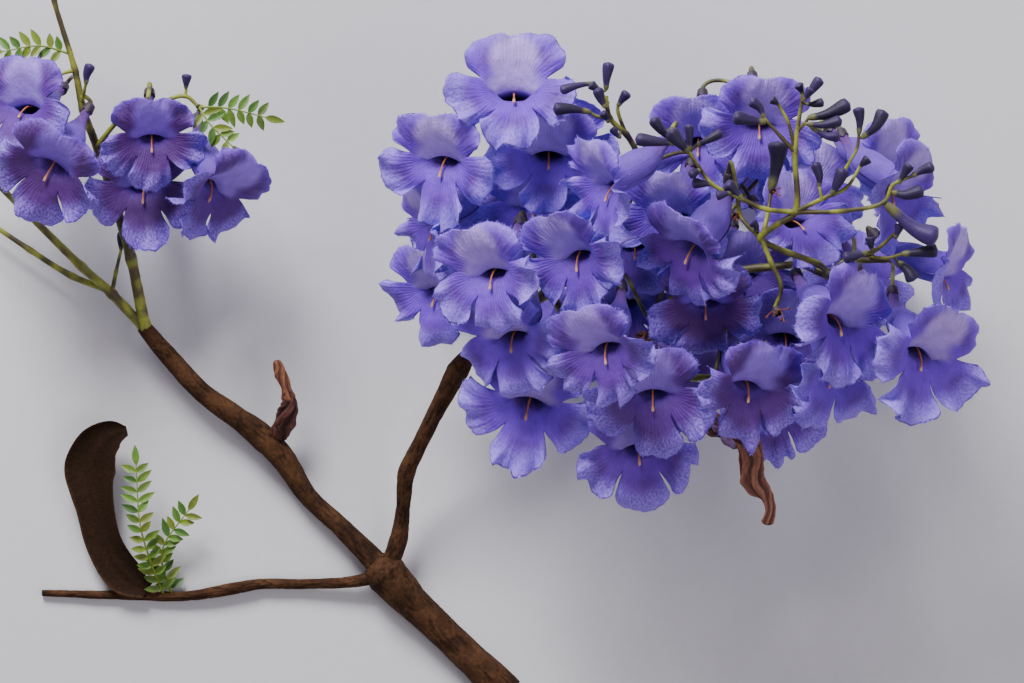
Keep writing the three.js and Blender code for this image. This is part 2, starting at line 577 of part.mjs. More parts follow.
// A point of a lobe: side runs from -1 to 1 across it and along from 0 at the rim to 1.
function lobePoint(index, shape, side, along, lift) {
  const lobe = LOBES[index];
  const edge = side < 0 ? lobeEdge(index, -1) : lobeEdge(index, 1);
  const angle = THREE.MathUtils.lerp(lobe.angle, edge, Math.abs(side));
  const foot = tubePoint(0, angle, 1, 0);
  const middle = lobe.length * LOBE_MIDDLE;
  const halfWidth = lobe.width / 2;
  const outward = new THREE.Vector3(Math.cos(lobe.angle), Math.sin(lobe.angle), 0);
  const across = new THREE.Vector3(-Math.sin(lobe.angle), Math.cos(lobe.angle), 0);
  const start = tubePoint(0, lobe.angle, 1, 0);
  const turn = side * LOBE_ROUNDNESS;
  const reach = (middle + (lobe.length - middle) * Math.cos(turn)) * along;
  const shift = (halfWidth * Math.sin(turn) - foot.clone().sub(start).dot(across)) * along;
  const bend = shape.end - lobe.start;
  const way = lobe.start + (bend * reach) / lobe.length;
  const out = (lobe.length / bend) * (Math.cos(lobe.start) - Math.cos(way)) * shape.stretch;
  const front = (lobe.length / bend) * (Math.sin(way) - Math.sin(lobe.start)) * shape.stretch;
  const face = outward.clone().multiplyScalar(-Math.cos(way)).add(new THREE.Vector3(0, 0, Math.sin(way)));
  const level = foot.clone().sub(start).dot(outward) * along;
  const cup = PETAL_CUP * halfWidth * side * side * along;
  return foot
    .addScaledVector(across, shift)
    .addScaledVector(outward, out - level)
    .add(new THREE.Vector3(0, 0, front))
    .addScaledVector(face, lift - cup);
}

function lobeShapes(seed) {
  const next = seeded(seed);
  return LOBES.map((lobe) => ({
    stretch: 1 + LENGTH_SPREAD * (2 * next() - 1),
    end: lobe.end + BEND_SPREAD * (2 * next() - 1),
  }));
}

// One closed bloom in its own frame: the tube's outside, its hollow throat, and lobes that are
// thick in the middle and sharp at the edge.
function bloomSolid(seed, tubeBend) {
  const shapes = lobeShapes(seed);
  const points = [];
  const faces = [];
  const keep = (point) => points.push(point) - 1;
  const strip = (a, b, closed) => {
    const last = closed ? a.length : a.length - 1;
    for (let i = 0; i < last; i += 1) {
      const j = (i + 1) % a.length;
      faces.push([a[i], a[j], b[j]], [a[i], b[j], b[i]]);
    }
  };

  const rim = { outer: [], inner: [] };
  LOBES.forEach((lobe, index) => {
    const edge = keep(tubePoint(0, lobeEdge(index, -1), 1, 0));
    rim.outer.push(edge, keep(tubePoint(0, lobe.angle, 1, 0)));
    rim.inner.push(edge, keep(tubePoint(0, lobe.angle, 1 - PETAL_THICKNESS / RIM_HALF_WIDTH, 0)));
  });
  const angles = LOBES.flatMap((lobe, index) => [lobeEdge(index, -1), lobe.angle]);
  const ring = (share, scale) => angles.map((angle) => keep(tubePoint(share, angle, scale, tubeBend)));

  let before = rim.outer;
  for (const share of BELL_STATIONS) {
    const here = ring(share, 1);
    strip(here, before, true);
    before = here;
  }
  const foot = keep(tubeSpot(1, tubeBend).spot);
  strip(before.map(() => foot), before, true);

  const throat = ring(BELL_START, THROAT_SHARE);
  strip(rim.inner, throat, true);
  const depth = keep(tubeSpot(THROAT_END, tubeBend).spot);
  strip(throat, throat.map(() => depth), true);

  LOBES.forEach((lobe, index) => {
    const edge = LOBE_COLUMNS.map((side) => keep(lobePoint(index, shapes[index], side, 1, 0)));
    const left = keep(lobePoint(index, shapes[index], -1, LOBE_SIDE_ROW, 0));
    const right = keep(lobePoint(index, shapes[index], 1, LOBE_SIDE_ROW, 0));
    for (const hand of [1, -1]) {
      const lift = (hand * PETAL_THICKNESS) / 2;
      const near = hand > 0 ? rim.inner : rim.outer;
      const foots = [0, 1, 2].map((k) => near[(2 * index + k) % near.length]);
      const inner = LOBE_COLUMNS.slice(1, -1);
      const thick = inner.map((side) =>
        keep(lobePoint(index, shapes[index], side, LOBE_THICK_ROW, lift)),
      );
      const middle = [left, ...thick, right];
      const patch = faces.length;
      strip(middle, edge, false);
      faces.push([foots[0], middle[1], left], [foots[0], foots[1], middle[1]]);
      faces.push([foots[1], middle[2], middle[1]], [foots[1], foots[2], middle[2]]);
      faces.push([foots[2], right, middle[2]]);
      if (hand < 0) {
        continue;
      }
      for (let k = patch; k < faces.length; k += 1) {
        faces[k] = [faces[k][0], faces[k][2], faces[k][1]];
      }
    }
  });
  const real = faces.filter(([a, b, c]) => a !== b && b !== c && a !== c);
  return solidFrom(points, real);
}

// The turn that takes a bloom's own frame to the picture's.
function bloomTurn(row) {
  const out = row.look.clone().normalize();
  const up = new THREE.Vector3(Math.cos(row.lip), Math.sin(row.lip), 0);
  up.addScaledVector(out, -up.dot(out)).normalize();
  return new THREE.Matrix4().makeBasis(up.clone().cross(out), up, out);
}

function clearOf(solid, others, gap) {
  const box = solid.boundingBox();
  return others.every((other) => {
    const near = [0, 1, 2].every(
      (k) => box.min[k] - gap < other.box.max[k] && other.box.min[k] - gap < box.max[k],
    );
    return !near || solid.minGap(other.solid, gap) > gap - GAP_ERROR;
  });
}

function placed(solid, name) {
  return { solid, name, box: solid.boundingBox() };
}

// The moves that a bloom may make to come clear, the smallest first.
function settleMoves() {
  const moves = [];
  for (let back = 0; back <= SETTLE_DEPTH; back += SETTLE_STEP) {
    for (let right = -SETTLE_SHIFT; right <= SETTLE_SHIFT; right += SETTLE_STEP) {
      for (let up = -SETTLE_SHIFT; up <= SETTLE_SHIFT; up += SETTLE_STEP) {
        moves.push({ back, right, up, cost: back + SHIFT_COST * Math.hypot(right, up) });
      }
    }
  }
  return moves.sort((one, two) => one.cost - two.cost);
}

// Each bloom goes back along its line of sight, or a little aside, until it is clear.
function settle(row, seed, others) {
  const turn = bloomTurn(row);
  const own = bloomSolid(seed, row.bend);
  const { spot, way } = tubeSpot(1, row.bend);
  const behind = new THREE.LineCurve3(spot, spot.clone().addScaledVector(way, STALK_ROOM));
  const room = ringsAlong(behind, 1, STALK_SIDES, () => [STALK_ROOM_RADIUS, STALK_ROOM_RADIUS]);
  const reserved = own.add(loft(room, behind.v1, behind.v2));
  for (const move of settleMoves()) {
    const height = row.height - move.back;
    if (height < LOWEST_MOUTH && move.back > 0) {
      continue;
    }
    const mouth = place(row.across, row.down, height).add(new THREE.Vector3(move.right, move.up, 0));
    const matrix = turn.clone().scale(new THREE.Vector3(row.size, row.size, row.size));
    matrix.setPosition(mouth);
    const whole = reserved.transform(matrix.toArray());
    if (clearOf(whole, others, BLOOM_GAP)) {
      const solid = own.transform(matrix.toArray());
      const foot = spot.clone().applyMatrix4(matrix);
      const back = way.clone().transformDirection(matrix);
      return { name: row.name, solid, whole, foot, back, height };
    }
  }
  throw new Error(`${row.name} finds no free place`);
}

// Places along a run where a flower's own stalk may leave it.
function jointsAlong(stem, curve) {
  const count = Math.ceil(curve.getLength() / JOINT_SPACING);
  const joints = [];
  for (let k = 1; k <= count; k += 1) {
    const share = k / (count + JOINT_END);
    joints.push({ stem, spot: curve.getPointAt(share), ahead: curve.getTangentAt(share) });
  }
  return joints;
}

// The ways from the joints to a bloom's foot, the shortest and straightest first.
function stalkWays(end, joints) {
  const ways = [];
  for (const joint of joints) {
    const gap = joint.spot.distanceTo(end);
    for (const [leave, arrive] of FOOTSTALK_ENDS) {
      for (const detour of FOOTSTALK_DETOURS) {
        ways.push({ joint, gap, leave, arrive, detour, cost: gap + DETOUR_COST * detour.length() });
      }
    }
  }
  return ways.sort((one, two) => one.cost - two.cost);
}

// A flower's own stalk, from a stem to the foot of the bloom, ending in a small cup. It may leave
// from the stems or from another flower's stalk, and it takes the first way that is clear.
function footstalk(bloom, joints, others, nodes) {
  const end = bloom.foot.clone().addScaledVector(bloom.back, SEAT_GAP);
  for (const { joint, gap, leave, arrive, detour } of stalkWays(end, joints)) {
    const curve = new THREE.CubicBezierCurve3(
      joint.spot,
      joint.spot.clone().addScaledVector(joint.ahead, leave * gap).add(detour),
      end.clone().addScaledVector(bloom.back, arrive * gap).add(detour),
      end,
    );
    const steps = FOOTSTALK_RADII.length - 1;
    const rings = ringsAlong(curve, steps, FOOTSTALK_SIDES, (share) => {
      const radius = FOOTSTALK_RADII[Math.round(share * steps)];
      return [radius, radius];
    });
    const solid = loft(rings, joint.spot, end);
    const rest = others.filter((other) => other.name !== joint.stem);
    if (!clearOf(solid, rest, STALK_GAP)) {
      continue;
    }
    const joined = nodes[joint.stem].add(solid);
    if (joined.decompose().length === 1) {
      return { solid, joined, curve, stem: joint.stem };
    }
  }
  throw new Error(`${bloom.name} finds no stem`);
}

// The blooms take their stalks in turn, the one nearest to a stem first. A stalk that is there
// may carry the next.
function growFootstalks(blooms, nodes, stemJoints, others) {
  const joints = [...stemJoints];
  const waiting = [...blooms];
  const distance = (bloom) => Math.min(...joints.map((joint) => joint.spot.distanceTo(bloom.foot)));
  while (waiting.length > 0) {
    waiting.sort((one, two) => distance(one) - distance(two));
    const bloom = waiting.shift();
    const stalk = footstalk(bloom, joints, others, nodes);
    nodes[stalk.stem] = stalk.joined;
    others.push(placed(stalk.solid, stalk.stem));
    joints.push(...jointsAlong(stalk.stem, stalk.curve).slice(0, -CUP_JOINTS));
  }
}

// A flattened shape with flat ends, for the seed pod and the dried flower.
function flatRun({ run, sides, flatness }) {
  const curve = limbCurve(run);
  const steps = (run.length - 1) * SPAN_STEPS;
  const rings = ringsAlong(curve, steps, sides, (share) => {
    const wide = diameterAt(run, share) / 2;
    return [wide * flatness, wide];
  });
  return loft(rings, curve.getPoint(0), curve.getPoint(1));
}

// The upper end of a flattened shape that hangs, and the way on from it.
function flatEnd(name, shape) {
  const curve = limbCurve(shape.run);
  return { name, foot: curve.getPoint(0), back: curve.getTangent(0).negate() };
}

function largest(solid) {
  return solid.decompose().sort((one, two) => two.volume() - one.volume())[0];
}

// Every limb is cut back from the limbs that carry it, and its largest piece is kept.
function carried(solid, parents) {
  let rest = solid;
  for (const name of parents) {
    const under = WOOD[name] ?? STALKS[name];
    rest = rest.subtract(limb(under.run, under.sides ?? STALK_SIDES, SPAN_STEPS, SEAT_GAP));
  }
  return largest(rest);
}

// The same solid with corners that almost touch made one, and the faces between them gone.
function welded(solid) {
  const { vertProperties, triVerts } = solid.getMesh();
  const points = [];
  const corner = [];
  for (let i = 0; i < vertProperties.length; i += 3) {
    const point = new THREE.Vector3().fromArray(vertProperties, i);
    const same = points.findIndex((other) => other.distanceTo(point) < WELD);
    corner.push(same < 0 ? points.push(point) - 1 : same);
  }
  const faces = new Map();
  for (let i = 0; i < triVerts.length; i += 3) {
    const face = [0, 1, 2].map((k) => corner[triVerts[i + k]]);
    const key = [...face].sort((one, two) => one - two).join(" ");
    if (faces.has(key)) {
      faces.delete(key); // two faces back to back leave nothing between them
    } else if (new Set(face).size === 3) {
      faces.set(key, face);
    }
  }
  return solidFrom(points, [...faces.values()]);
}

function checkWhole(name, solid) {
  if (solid.decompose().length !== 1) {
    throw new Error(`${name} is not one whole piece`);
  }
}

function buildSolids() {
  const nodes = {};
  const colours = {};
  const runs = {};
  for (const [name, wood] of Object.entries(WOOD)) {
    nodes[name] = carried(limb(wood.run, wood.sides, SPAN_STEPS), wood.on);
    colours[name] = wood.colour ?? "bark";
  }
  for (const [name, stalk] of Object.entries(STALKS)) {
    let solid = carried(limb(stalk.run, STALK_SIDES, SPAN_STEPS), stalk.on);
    runs[name] = [stalk.run];
    for (const run of BRANCHLETS[name] ?? []) {
      solid = solid.add(limb(run, BRANCHLET_SIDES, 1));
      runs[name].push(run);
    }
    for (const row of BUDS[name] ?? []) {
      solid = solid.add(bud(row, runs[name]));
    }
    checkWhole(name, solid);
    nodes[name] = carried(solid, stalk.on);
    colours[name] = "green";
  }
  for (const [name, leaves] of Object.entries(LEAVES)) {
    for (const run of leaves) {
      nodes[name] = nodes[name].add(feather(run));
    }
  }
  for (const [name, shape] of Object.entries(FLAT)) {
    nodes[name] = carried(flatRun(shape), shape.on);
    colours[name] = shape.colour;
  }

  const others = Object.entries(nodes).map(([name, solid]) => placed(solid, name));
  const taken = [...others];
  const settled = BLOOMS.map((row, index) => {
    const result = settle(row, index + 1, taken);
    taken.push(placed(result.whole, row.name));
    others.push(placed(result.solid, row.name));
    nodes[row.name] = result.solid;
    colours[row.name] = "petal";
    return result;
  });

  const joints = Object.entries(runs).flatMap(([stem, list]) =>
    list.flatMap((run) => jointsAlong(stem, limbCurve(run))),
  );
  for (const [name, solid] of Object.entries(nodes)) {
    checkWhole(name, solid);
  }
  const hanging = Object.entries(FLAT).filter(([, shape]) => shape.hangs);
  const ends = hanging.map(([name, shape]) => flatEnd(name, shape));
  growFootstalks([...settled, ...ends], nodes, joints, others);
  for (const name of ["low_twig", ...Object.keys(STALKS)]) {
    nodes[name] = largest(welded(nodes[name].simplify(LIMB_TOLERANCE)));
  }
  return { nodes, colours };
}

function meshOf(name, solid, colour) {
  const { vertProperties, triVerts } = solid.getMesh();
  const geometry = new THREE.BufferGeometry();
  geometry.setAttribute("position", new THREE.BufferAttribute(vertProperties, 3));
  geometry.setIndex(new THREE.BufferAttribute(triVerts, 1));
  const mesh = new THREE.Mesh(geometry, new THREE.MeshStandardMaterial(COLOURS[colour]));
  mesh.name = name;
  return mesh;
}

function build() {
  const { nodes, colours } = buildSolids();
  const group = new THREE.Group();
  for (const [name, solid] of Object.entries(nodes)) {
    group.add(meshOf(name, solid, colours[name]));
  }
  const box = new THREE.Box3().setFromObject(group);
  const middle = box.getCenter(new THREE.Vector3());
  group.position.set(-middle.x, -middle.y, -box.min.z);
  return group;
}

export default build();
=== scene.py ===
# The dressed jacaranda branch: every bloom, stalk, bud, leaf and limb of the solids is grown again
# by the same rules with finer shapes, and gets its colours, veins, hairs and bark.
# Lengths are millimetres until a mesh is made. X runs to the right, Y up the picture, Z upwards.
import json
import math

import bpy
import numpy as np
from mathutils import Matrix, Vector, noise
from mathutils.bvhtree import BVHTree

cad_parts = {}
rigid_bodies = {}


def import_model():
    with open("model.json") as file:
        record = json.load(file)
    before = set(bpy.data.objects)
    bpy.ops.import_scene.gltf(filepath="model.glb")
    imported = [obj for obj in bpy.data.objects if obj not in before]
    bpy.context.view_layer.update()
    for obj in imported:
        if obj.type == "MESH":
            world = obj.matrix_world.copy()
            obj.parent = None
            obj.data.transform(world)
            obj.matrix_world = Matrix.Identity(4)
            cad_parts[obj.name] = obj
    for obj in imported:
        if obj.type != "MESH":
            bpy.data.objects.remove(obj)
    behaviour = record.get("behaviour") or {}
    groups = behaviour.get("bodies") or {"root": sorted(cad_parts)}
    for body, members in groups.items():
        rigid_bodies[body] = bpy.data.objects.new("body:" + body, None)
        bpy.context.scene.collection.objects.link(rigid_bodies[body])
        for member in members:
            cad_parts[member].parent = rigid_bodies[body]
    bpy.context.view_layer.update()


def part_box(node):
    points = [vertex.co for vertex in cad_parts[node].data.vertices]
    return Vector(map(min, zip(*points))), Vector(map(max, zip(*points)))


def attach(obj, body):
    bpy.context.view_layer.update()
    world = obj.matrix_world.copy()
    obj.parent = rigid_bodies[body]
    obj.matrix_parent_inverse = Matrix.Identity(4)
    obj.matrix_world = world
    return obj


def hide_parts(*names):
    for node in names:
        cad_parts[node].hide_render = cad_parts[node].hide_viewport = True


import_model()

MM = 0.001
BOX_SLACK = 0.05  # how far a bloom's box may be from its solid's
WELD_DISTANCE = 1e-4  # points closer than this become one
LENGTH_STEPS = 200
EVEN_STEPS = 400
AHEAD_STEP = 1e-4
PARALLEL = 0.95  # two ways this alike, as a cosine, count as parallel
UP = np.array([0.0, 0.0, 1.0])

# Seeds of the small differences.
LIMB_LEAF_SEED = 5
STALK_SEED = 40
SCRAP_SEED = 12

# The picture looks straight down on the branch. A spot is given by its pixel and its height.
PICTURE_WIDTH = 1024
PICTURE_HEIGHT = 683
PICTURE_SPAN = 330  # real width that the picture shows at the height of the flowers
FLOWER_HEIGHT = 80
EYE_HEIGHT = 1900
SENSOR = 36

# One bloom at its full size: a bent tube that swells to a bell, and five lobes round its mouth.
TUBE_LENGTH = 31
TUBE_BEND = 45
BEND_POWER = 1.7
TUBE_STEPS = 24
RIM_HALF_WIDTH = 10.4
RIM_HALF_HEIGHT = 9
RIM_DROP = 1.4
BELL_HALF_WIDTH = 6.2
BELL_HALF_HEIGHT = 5.4
BELL_START = 0.17
NECK = (0.45, 0.88)  # from here to there the bell narrows to the tube's foot
BASE_RADIUS = 1.5
BELL_STATIONS = (BELL_START, 0.58, 1)
PETAL_THICKNESS = 0.55
PETAL_CUP = 0.14
LOBE_COLUMNS = (-1, -0.42, 0.42, 1)
LOBE_ROUNDNESS = math.radians(100)
LOBE_MIDDLE = 0.46  # where a lobe is widest, as a share of its length
LOBE_SIDE_ROW = 0.5  # the row of corners between rim and edge, at its ends
LOBE_THICK_ROW = 0.55  # and in between
LENGTH_SPREAD = 0.08
BEND_SPREAD = math.radians(16)
SEED_STEP = 7919
SEED_START = 17
DRAW_FACTOR = 16807
DRAW_RANGE = 2147483647
# Angle round the mouth, length, width, and the turn of the face from start to end, in degrees.
LOBES = [
    {"angle": 55, "length": 9.6, "width": 14.6, "start": 62, "end": 112},
    {"angle": 125, "length": 9.6, "width": 14.6, "start": 62, "end": 112},
    {"angle": 201, "length": 10.6, "width": 15.6, "start": 56, "end": 104},
    {"angle": 270, "length": 12, "width": 16.4, "start": 52, "end": 94},
    {"angle": 339, "length": 10.6, "width": 15.6, "start": 56, "end": 104},
]
UPPER_LOBES = (0, 1)

# Finer shape of a bloom. The heights of waves and folds are those of a lower lobe.
LOBE_CELLS = 24
LOBE_ROWS = 14
LOBE_ROW_POWER = 0.85
TUBE_ROWS = 16
TUBE_ROW_POWER = 1.3
THROAT_ROWS = 12
THROAT_DEPTH = 0.6
WALL = 0.42
EDGE_POWER = 6  # how late the wall thins out towards a lobe's edge
RIM_BLEND = 0.12  # share of the tube that follows the lobes' feet
MAP_UNIT = 10
ROOF_HEIGHT = -1.2  # the throat's pale roof comes down to here and leaves a slit over its floor
ROOF_ARCH = 0.055
ROOF_SHARE = 0.15
ROOF_CURVE = 1.3
FLOOR_HEIGHT = -4.6
SEAM_REACH = 0.7  # the two upper lobes are joined for this share of their length
SEAM_POWER = 1.5
WIDER = 1.1  # how much wider the lobes grow than in the solids
RUFFLE = 2.9
CRINKLE = 0.85
CURL = 3.2
FOLD = 2.8
TILT = 1.5
LEAN = 2.0
UPPER_RUFFLE = 0.4  # the upper lobes have this share of the waves, curl and notch
UPPER_CURL = 0.7
UPPER_NOTCH = 0.3
PLEAT = 0.12
GROOVE = 0.5
GROOVE_WIDTH = 0.3
NOTCH = 0.09
NOTCH_WIDTH = 0.16
EDGE_WAVES = 0.034  # shares of a lobe's length
EDGE_TEETH = 0.022
HAIRS_PER_LOBE = 90
HAIR_LENGTH = 0.8
HAIR_WIDTH = 0.13
HAIR_ROOT = 0.2
HAIR_INNER = 0.93
HAIR_SLANT = 0.35
# The long stamen's way: share of the tube, and height over its middle line.
STAMEN_SPOTS = [[0.5, -1.6], [0.3, -1.6], [0.16, -2.2], [0.06, -4.2], [0, -6.6]]
STAMEN_RADIUS = 0.36
STAMEN_TAPER = 0.1
STAMEN_KNOB = 0.26
STAMEN_RINGS = 20
STAMEN_SIDES = 8
PATCH_MIDDLE = 7.5  # the pale patch lies this far above the middle of the mouth
PATCH_REACH = (8.2, 8.6)
PATCH_SHARE = 0.96
UPPER_FROST = 0.25

# Places in the head whose blooms get a painted shade, deeper and more purple: [pixel, pixel, height, reach,
# share].
SHADED_HEARTS = [[705, 345, 90, 32, 1.2], [110, 150, 50, 52, 1.1]]

# A flower's own stalk and the ways it may leave the stem, as in the solids.
SEAT_GAP = 0.3
STALK_STATIONS = (0, 0.12, 0.5, 0.93, 1)
STALK_RADII = (0.9, 0.75, 0.7, 0.7, 1.3)
STALK_SIDES = 9
STALK_ENDS = ((0.3, 0.45), (0.1, 0.3), (0.3, 0.8), (-0.2, 0.45), (0, 1.1))
DETOUR = 9
DETOUR_COST = 1.2
JOINT_SPACING = 2.5
JOINT_END = 0.5  # free length past the last joint, in spacings
JOINT_STEPS = 1000
CUP_JOINTS = 2  # joints left out at a bloom's cup
STALK_CLEARANCE = 1.0
CLEAR_STEP = 1.1
CLEAR_PART = slice(1, -3)  # all but the very ends of a stalk, which touch what they join
CALYX_LENGTH = 2.4
CALYX_RADIUS = 1.95
CALYX_TOOTH = 0.55
CALYX_RINGS = 7
CALYX_SIDES = 20

# Stems, buds and leaves.
STEM_RING_SPACING = 0.9
STEM_SIDES = 12
BRANCHLET_SIDES = 10
KNOT = 0.22
KNOT_WIDTH = 0.1
NEAREST_STEPS = 12  # places looked at for each point of a run
BUD_TOUCH = 0.7  # nearer to its stem than this, a bud needs no stalk
BUD_STALK_RADII = (0.5, 0.42, 0.5)
BUD_STALK_RINGS = 10
BUD_STALK_SIDES = 8
BUD_LIFT = 1  # how much nearer to the eye a bud's tip is
BUD_PROFILE = [
    [0, 0.34], [0.06, 0.46], [0.17, 0.56], [0.21, 0.51], [0.35, 0.64], [0.55, 0.82], [0.75, 0.97],
    [0.88, 1.02], [0.95, 0.9], [0.985, 0.6], [1, 0.14],
]
BUD_RINGS = 22
BUD_SIDES = 15
BUD_FOLD = 0.1
BUD_SAG = 0.06
BUD_SHADES = {0.0: 0.4, 0.15: 0.3, 0.35: 0.2, 0.7: 0.1}  # how pale, and what share of the buds
BUD_CUP = 0.18
LEAFLET_LENGTH = 6.8
LEAFLET_WIDTH = 2.5
LEAFLET_SHAPE = (0.12, 0.72, 1, 0.98, 0.8, 0.46, 0.02)
LEAFLET_SIDES = (-1, -0.5, 0, 0.5, 1)
LEAFLET_SPACING = 3.4
LEAFLET_FOLD = 0.35
LEAFLET_THICKNESS = 0.07
LEAFLET_SPREAD = 0.13
MIDRIB_RADIUS = 0.42
MIDRIB_TAPER = 0.22
MIDRIB_RINGS = 30
MIDRIB_SIDES = 7

# Bark and dry pieces.
BARK_RING_SPACING = 0.55
SOLID_SIDES = 10  # of the main branch in the solids
MAIN_SIDES = 56
LIMB_SIDES = 40
BARK_CRACK = 0.2
CUT_RINGS = 9
FLAT_SMOOTHING = 9  # rings that a flat piece's width is evened out over
POD_ROWS = 150
POD_COLUMNS = 33
POD_SIDES = 8  # of the rings whose middles warp the shell
POD_WARP = 0.05
POD_LUMPS = 0.1
POD_RIDGE = 0.16
POD_RIDGE_WIDTH = 0.16
CRUMPLE_RINGS = 130
CRUMPLE_SIDES = 60
SCRAP_HEIGHT = 85
SCRAP_RISE = 0.2
SCRAP_LENGTH = 5.5
SCRAP_ROWS = 12
SCRAP_COLUMNS = 9
SCRAP_THICKNESS = 0.15


def srgb(red, green, blue):
    """The colour that a screen shows as these numbers from 0 to 255, for a shader."""
    shares = [channel / 255 for channel in (red, green, blue)]
    return np.array([s / 12.92 if s <= 0.04045 else ((s + 0.055) / 1.055) ** 2.4 for s in shares])


PETAL = srgb(126, 68, 236)
PETAL_PALE = srgb(160, 124, 255)
PETAL_DEEP = srgb(80, 27, 116)
FROST = srgb(170, 150, 255)
PATCH = srgb(200, 170, 252)
THROAT = srgb(122, 78, 190)
THROAT_SHADE = srgb(66, 34, 110)
TUBE = srgb(112, 74, 196)
TUBE_FOOT = srgb(118, 66, 130)
STAMEN = srgb(190, 116, 66)
STAMEN_TIP = srgb(214, 166, 136)
STEM = srgb(146, 152, 50)
STEM_DARK = srgb(74, 66, 34)
CALYX = srgb(58, 42, 60)
BUD = srgb(27, 10, 54)
BUD_PALE = srgb(68, 40, 114)
BARK_LIGHT = srgb(90, 60, 38)
BARK_DARK = srgb(42, 24, 14)
FRESH_WOOD = srgb(214, 184, 134)
PITH = srgb(120, 88, 54)
POD = srgb(34, 20, 10)
POD_FACE = srgb(44, 27, 15)
POD_RIM = srgb(72, 47, 30)
DRY = srgb(96, 52, 42)
DRY_LIGHT = srgb(146, 94, 74)
DRY_DARK = srgb(52, 24, 16)
STUB_KNOB = srgb(150, 96, 62)
WITHERED_PETAL = srgb(128, 96, 148)
ANTHER = srgb(150, 80, 42)
LEAF = srgb(96, 140, 40)
LEAF_DARK = srgb(54, 92, 30)
LEAF_YELLOW = srgb(150, 150, 40)
FLOOR = srgb(226, 226, 230)

BUMP_ROUGHNESS = 0.55
# Sockets of the part that mixes two colours.
MIX_SHARE = 0
MIX_ONE = 6
MIX_TWO = 7
MIX_RESULT = 2

# Metres here. A light is its name, place, size, energy and colour.
FLOOR_SIZE = 6
CLIP_END = 20
SKY = (0.96, 0.9, 1, 1)
SKY_STRENGTH = 0.28
LIGHTS = [
    ("key", (-0.5, 1.3, 1.0), 0.7, 43, (1, 1, 1)),
    ("fill", (0.9, -0.4, 1.3), 1.0, 6, (1, 0.96, 1)),
]

# Limbs: each is a tapering run of [pixel across, pixel down, height, diameter].
WOOD = {
    "main_branch": [
        [508, 694, 6.6, 11.8], [452, 640, 6.6, 10.4], [412, 602, 7.2, 11.4],
        [386, 574, 8, 14.4], [374, 562, 8, 9],
    ],
    "left_arm": [
        [384, 570, 8, 8.2], [340, 526, 7.2, 6.5], [308, 496, 7.2, 6.4], [284, 460, 8, 8.4],
        [266, 440, 8.6, 9.4], [236, 417, 8.6, 7.4], [204, 394, 9.4, 6.8],
        [165, 352, 11, 6.2], [143, 326, 12, 5],
    ],
    "flower_shoot": [
        [388, 568, 8, 6.4], [399, 538, 10, 6.2], [403, 508, 14, 4.7], [407, 472, 20, 6],
        [420, 444, 25, 5.2], [440, 404, 33, 5.8], [458, 370, 40, 7.4], [468, 356, 43, 5.4],
    ],
    "low_twig": [
        [382, 576, 8, 5], [350, 582, 5, 3.9], [300, 584, 3.4, 3.4], [262, 584, 3.2, 3.6],
        [225, 590, 3.2, 4.2], [187, 596, 3, 3.4], [110, 595, 2.4, 3], [42, 593, 2, 2.2],
    ],
}

STALKS = {
    "flower_stem": [
        [464, 362, 41, 4.6], [505, 322, 52, 4], [548, 292, 50, 3.6], [590, 262, 55, 3.3],
        [622, 215, 59, 2.9], [640, 165, 63, 2.2],
    ],
    "right_stem": [
        [590, 262, 55, 3], [640, 274, 57, 2.9], [700, 272, 59, 2.7], [760, 268, 63, 2.5],
        [820, 262, 65, 2.2], [886, 260, 65, 1.7],
    ],
    "lower_stem": [
        [548, 292, 50, 3], [590, 345, 47, 2.7], [640, 372, 48, 2.5], [700, 378, 49, 2.2],
        [748, 370, 50, 1.7],
    ],
    "upper_stem": [
        [700, 272, 59, 2.6], [718, 232, 61, 2.4], [735, 190, 62, 2.2], [765, 162, 63, 2],
        [812, 150, 63, 1.6],
    ],
    "left_stem": [
        [562, 282, 51, 2.8], [536, 244, 53, 2.5], [514, 204, 55, 2.2], [510, 160, 59, 1.7],
    ],
    "bud_stem_left": [
        [640, 172, 62, 2.4], [640, 160, 80, 2], [626, 134, 96, 1.9], [610, 118, 100, 1.7],
        [606, 96, 100, 1.2],
    ],
    "bud_stem_right": [
        [800, 263, 64, 2.4], [828, 276, 80, 2.2], [818, 264, 98, 2], [761, 238, 110, 2.2],
        [778, 224, 113, 2], [795, 212, 115, 2.1], [795, 150, 118, 1.7], [803, 94, 118, 1.1],
    ],
    "left_flower_stalk": [
        [145, 328, 12, 4], [131, 258, 20, 3.4], [116, 207, 27, 3.1], [99, 153, 33, 2.9],
        [83, 109, 37, 2.6], [75, 70, 40, 2], [54, 0, 44, 1.7], [50, -24, 44, 1.2],
    ],
    "left_side_stalk": [
        [146, 330, 12, 3.6], [112, 294, 15, 3.2], [82, 267, 18, 2.8], [20, 206, 22, 2.3],
        [-24, 164, 24, 1.6],
    ],
}

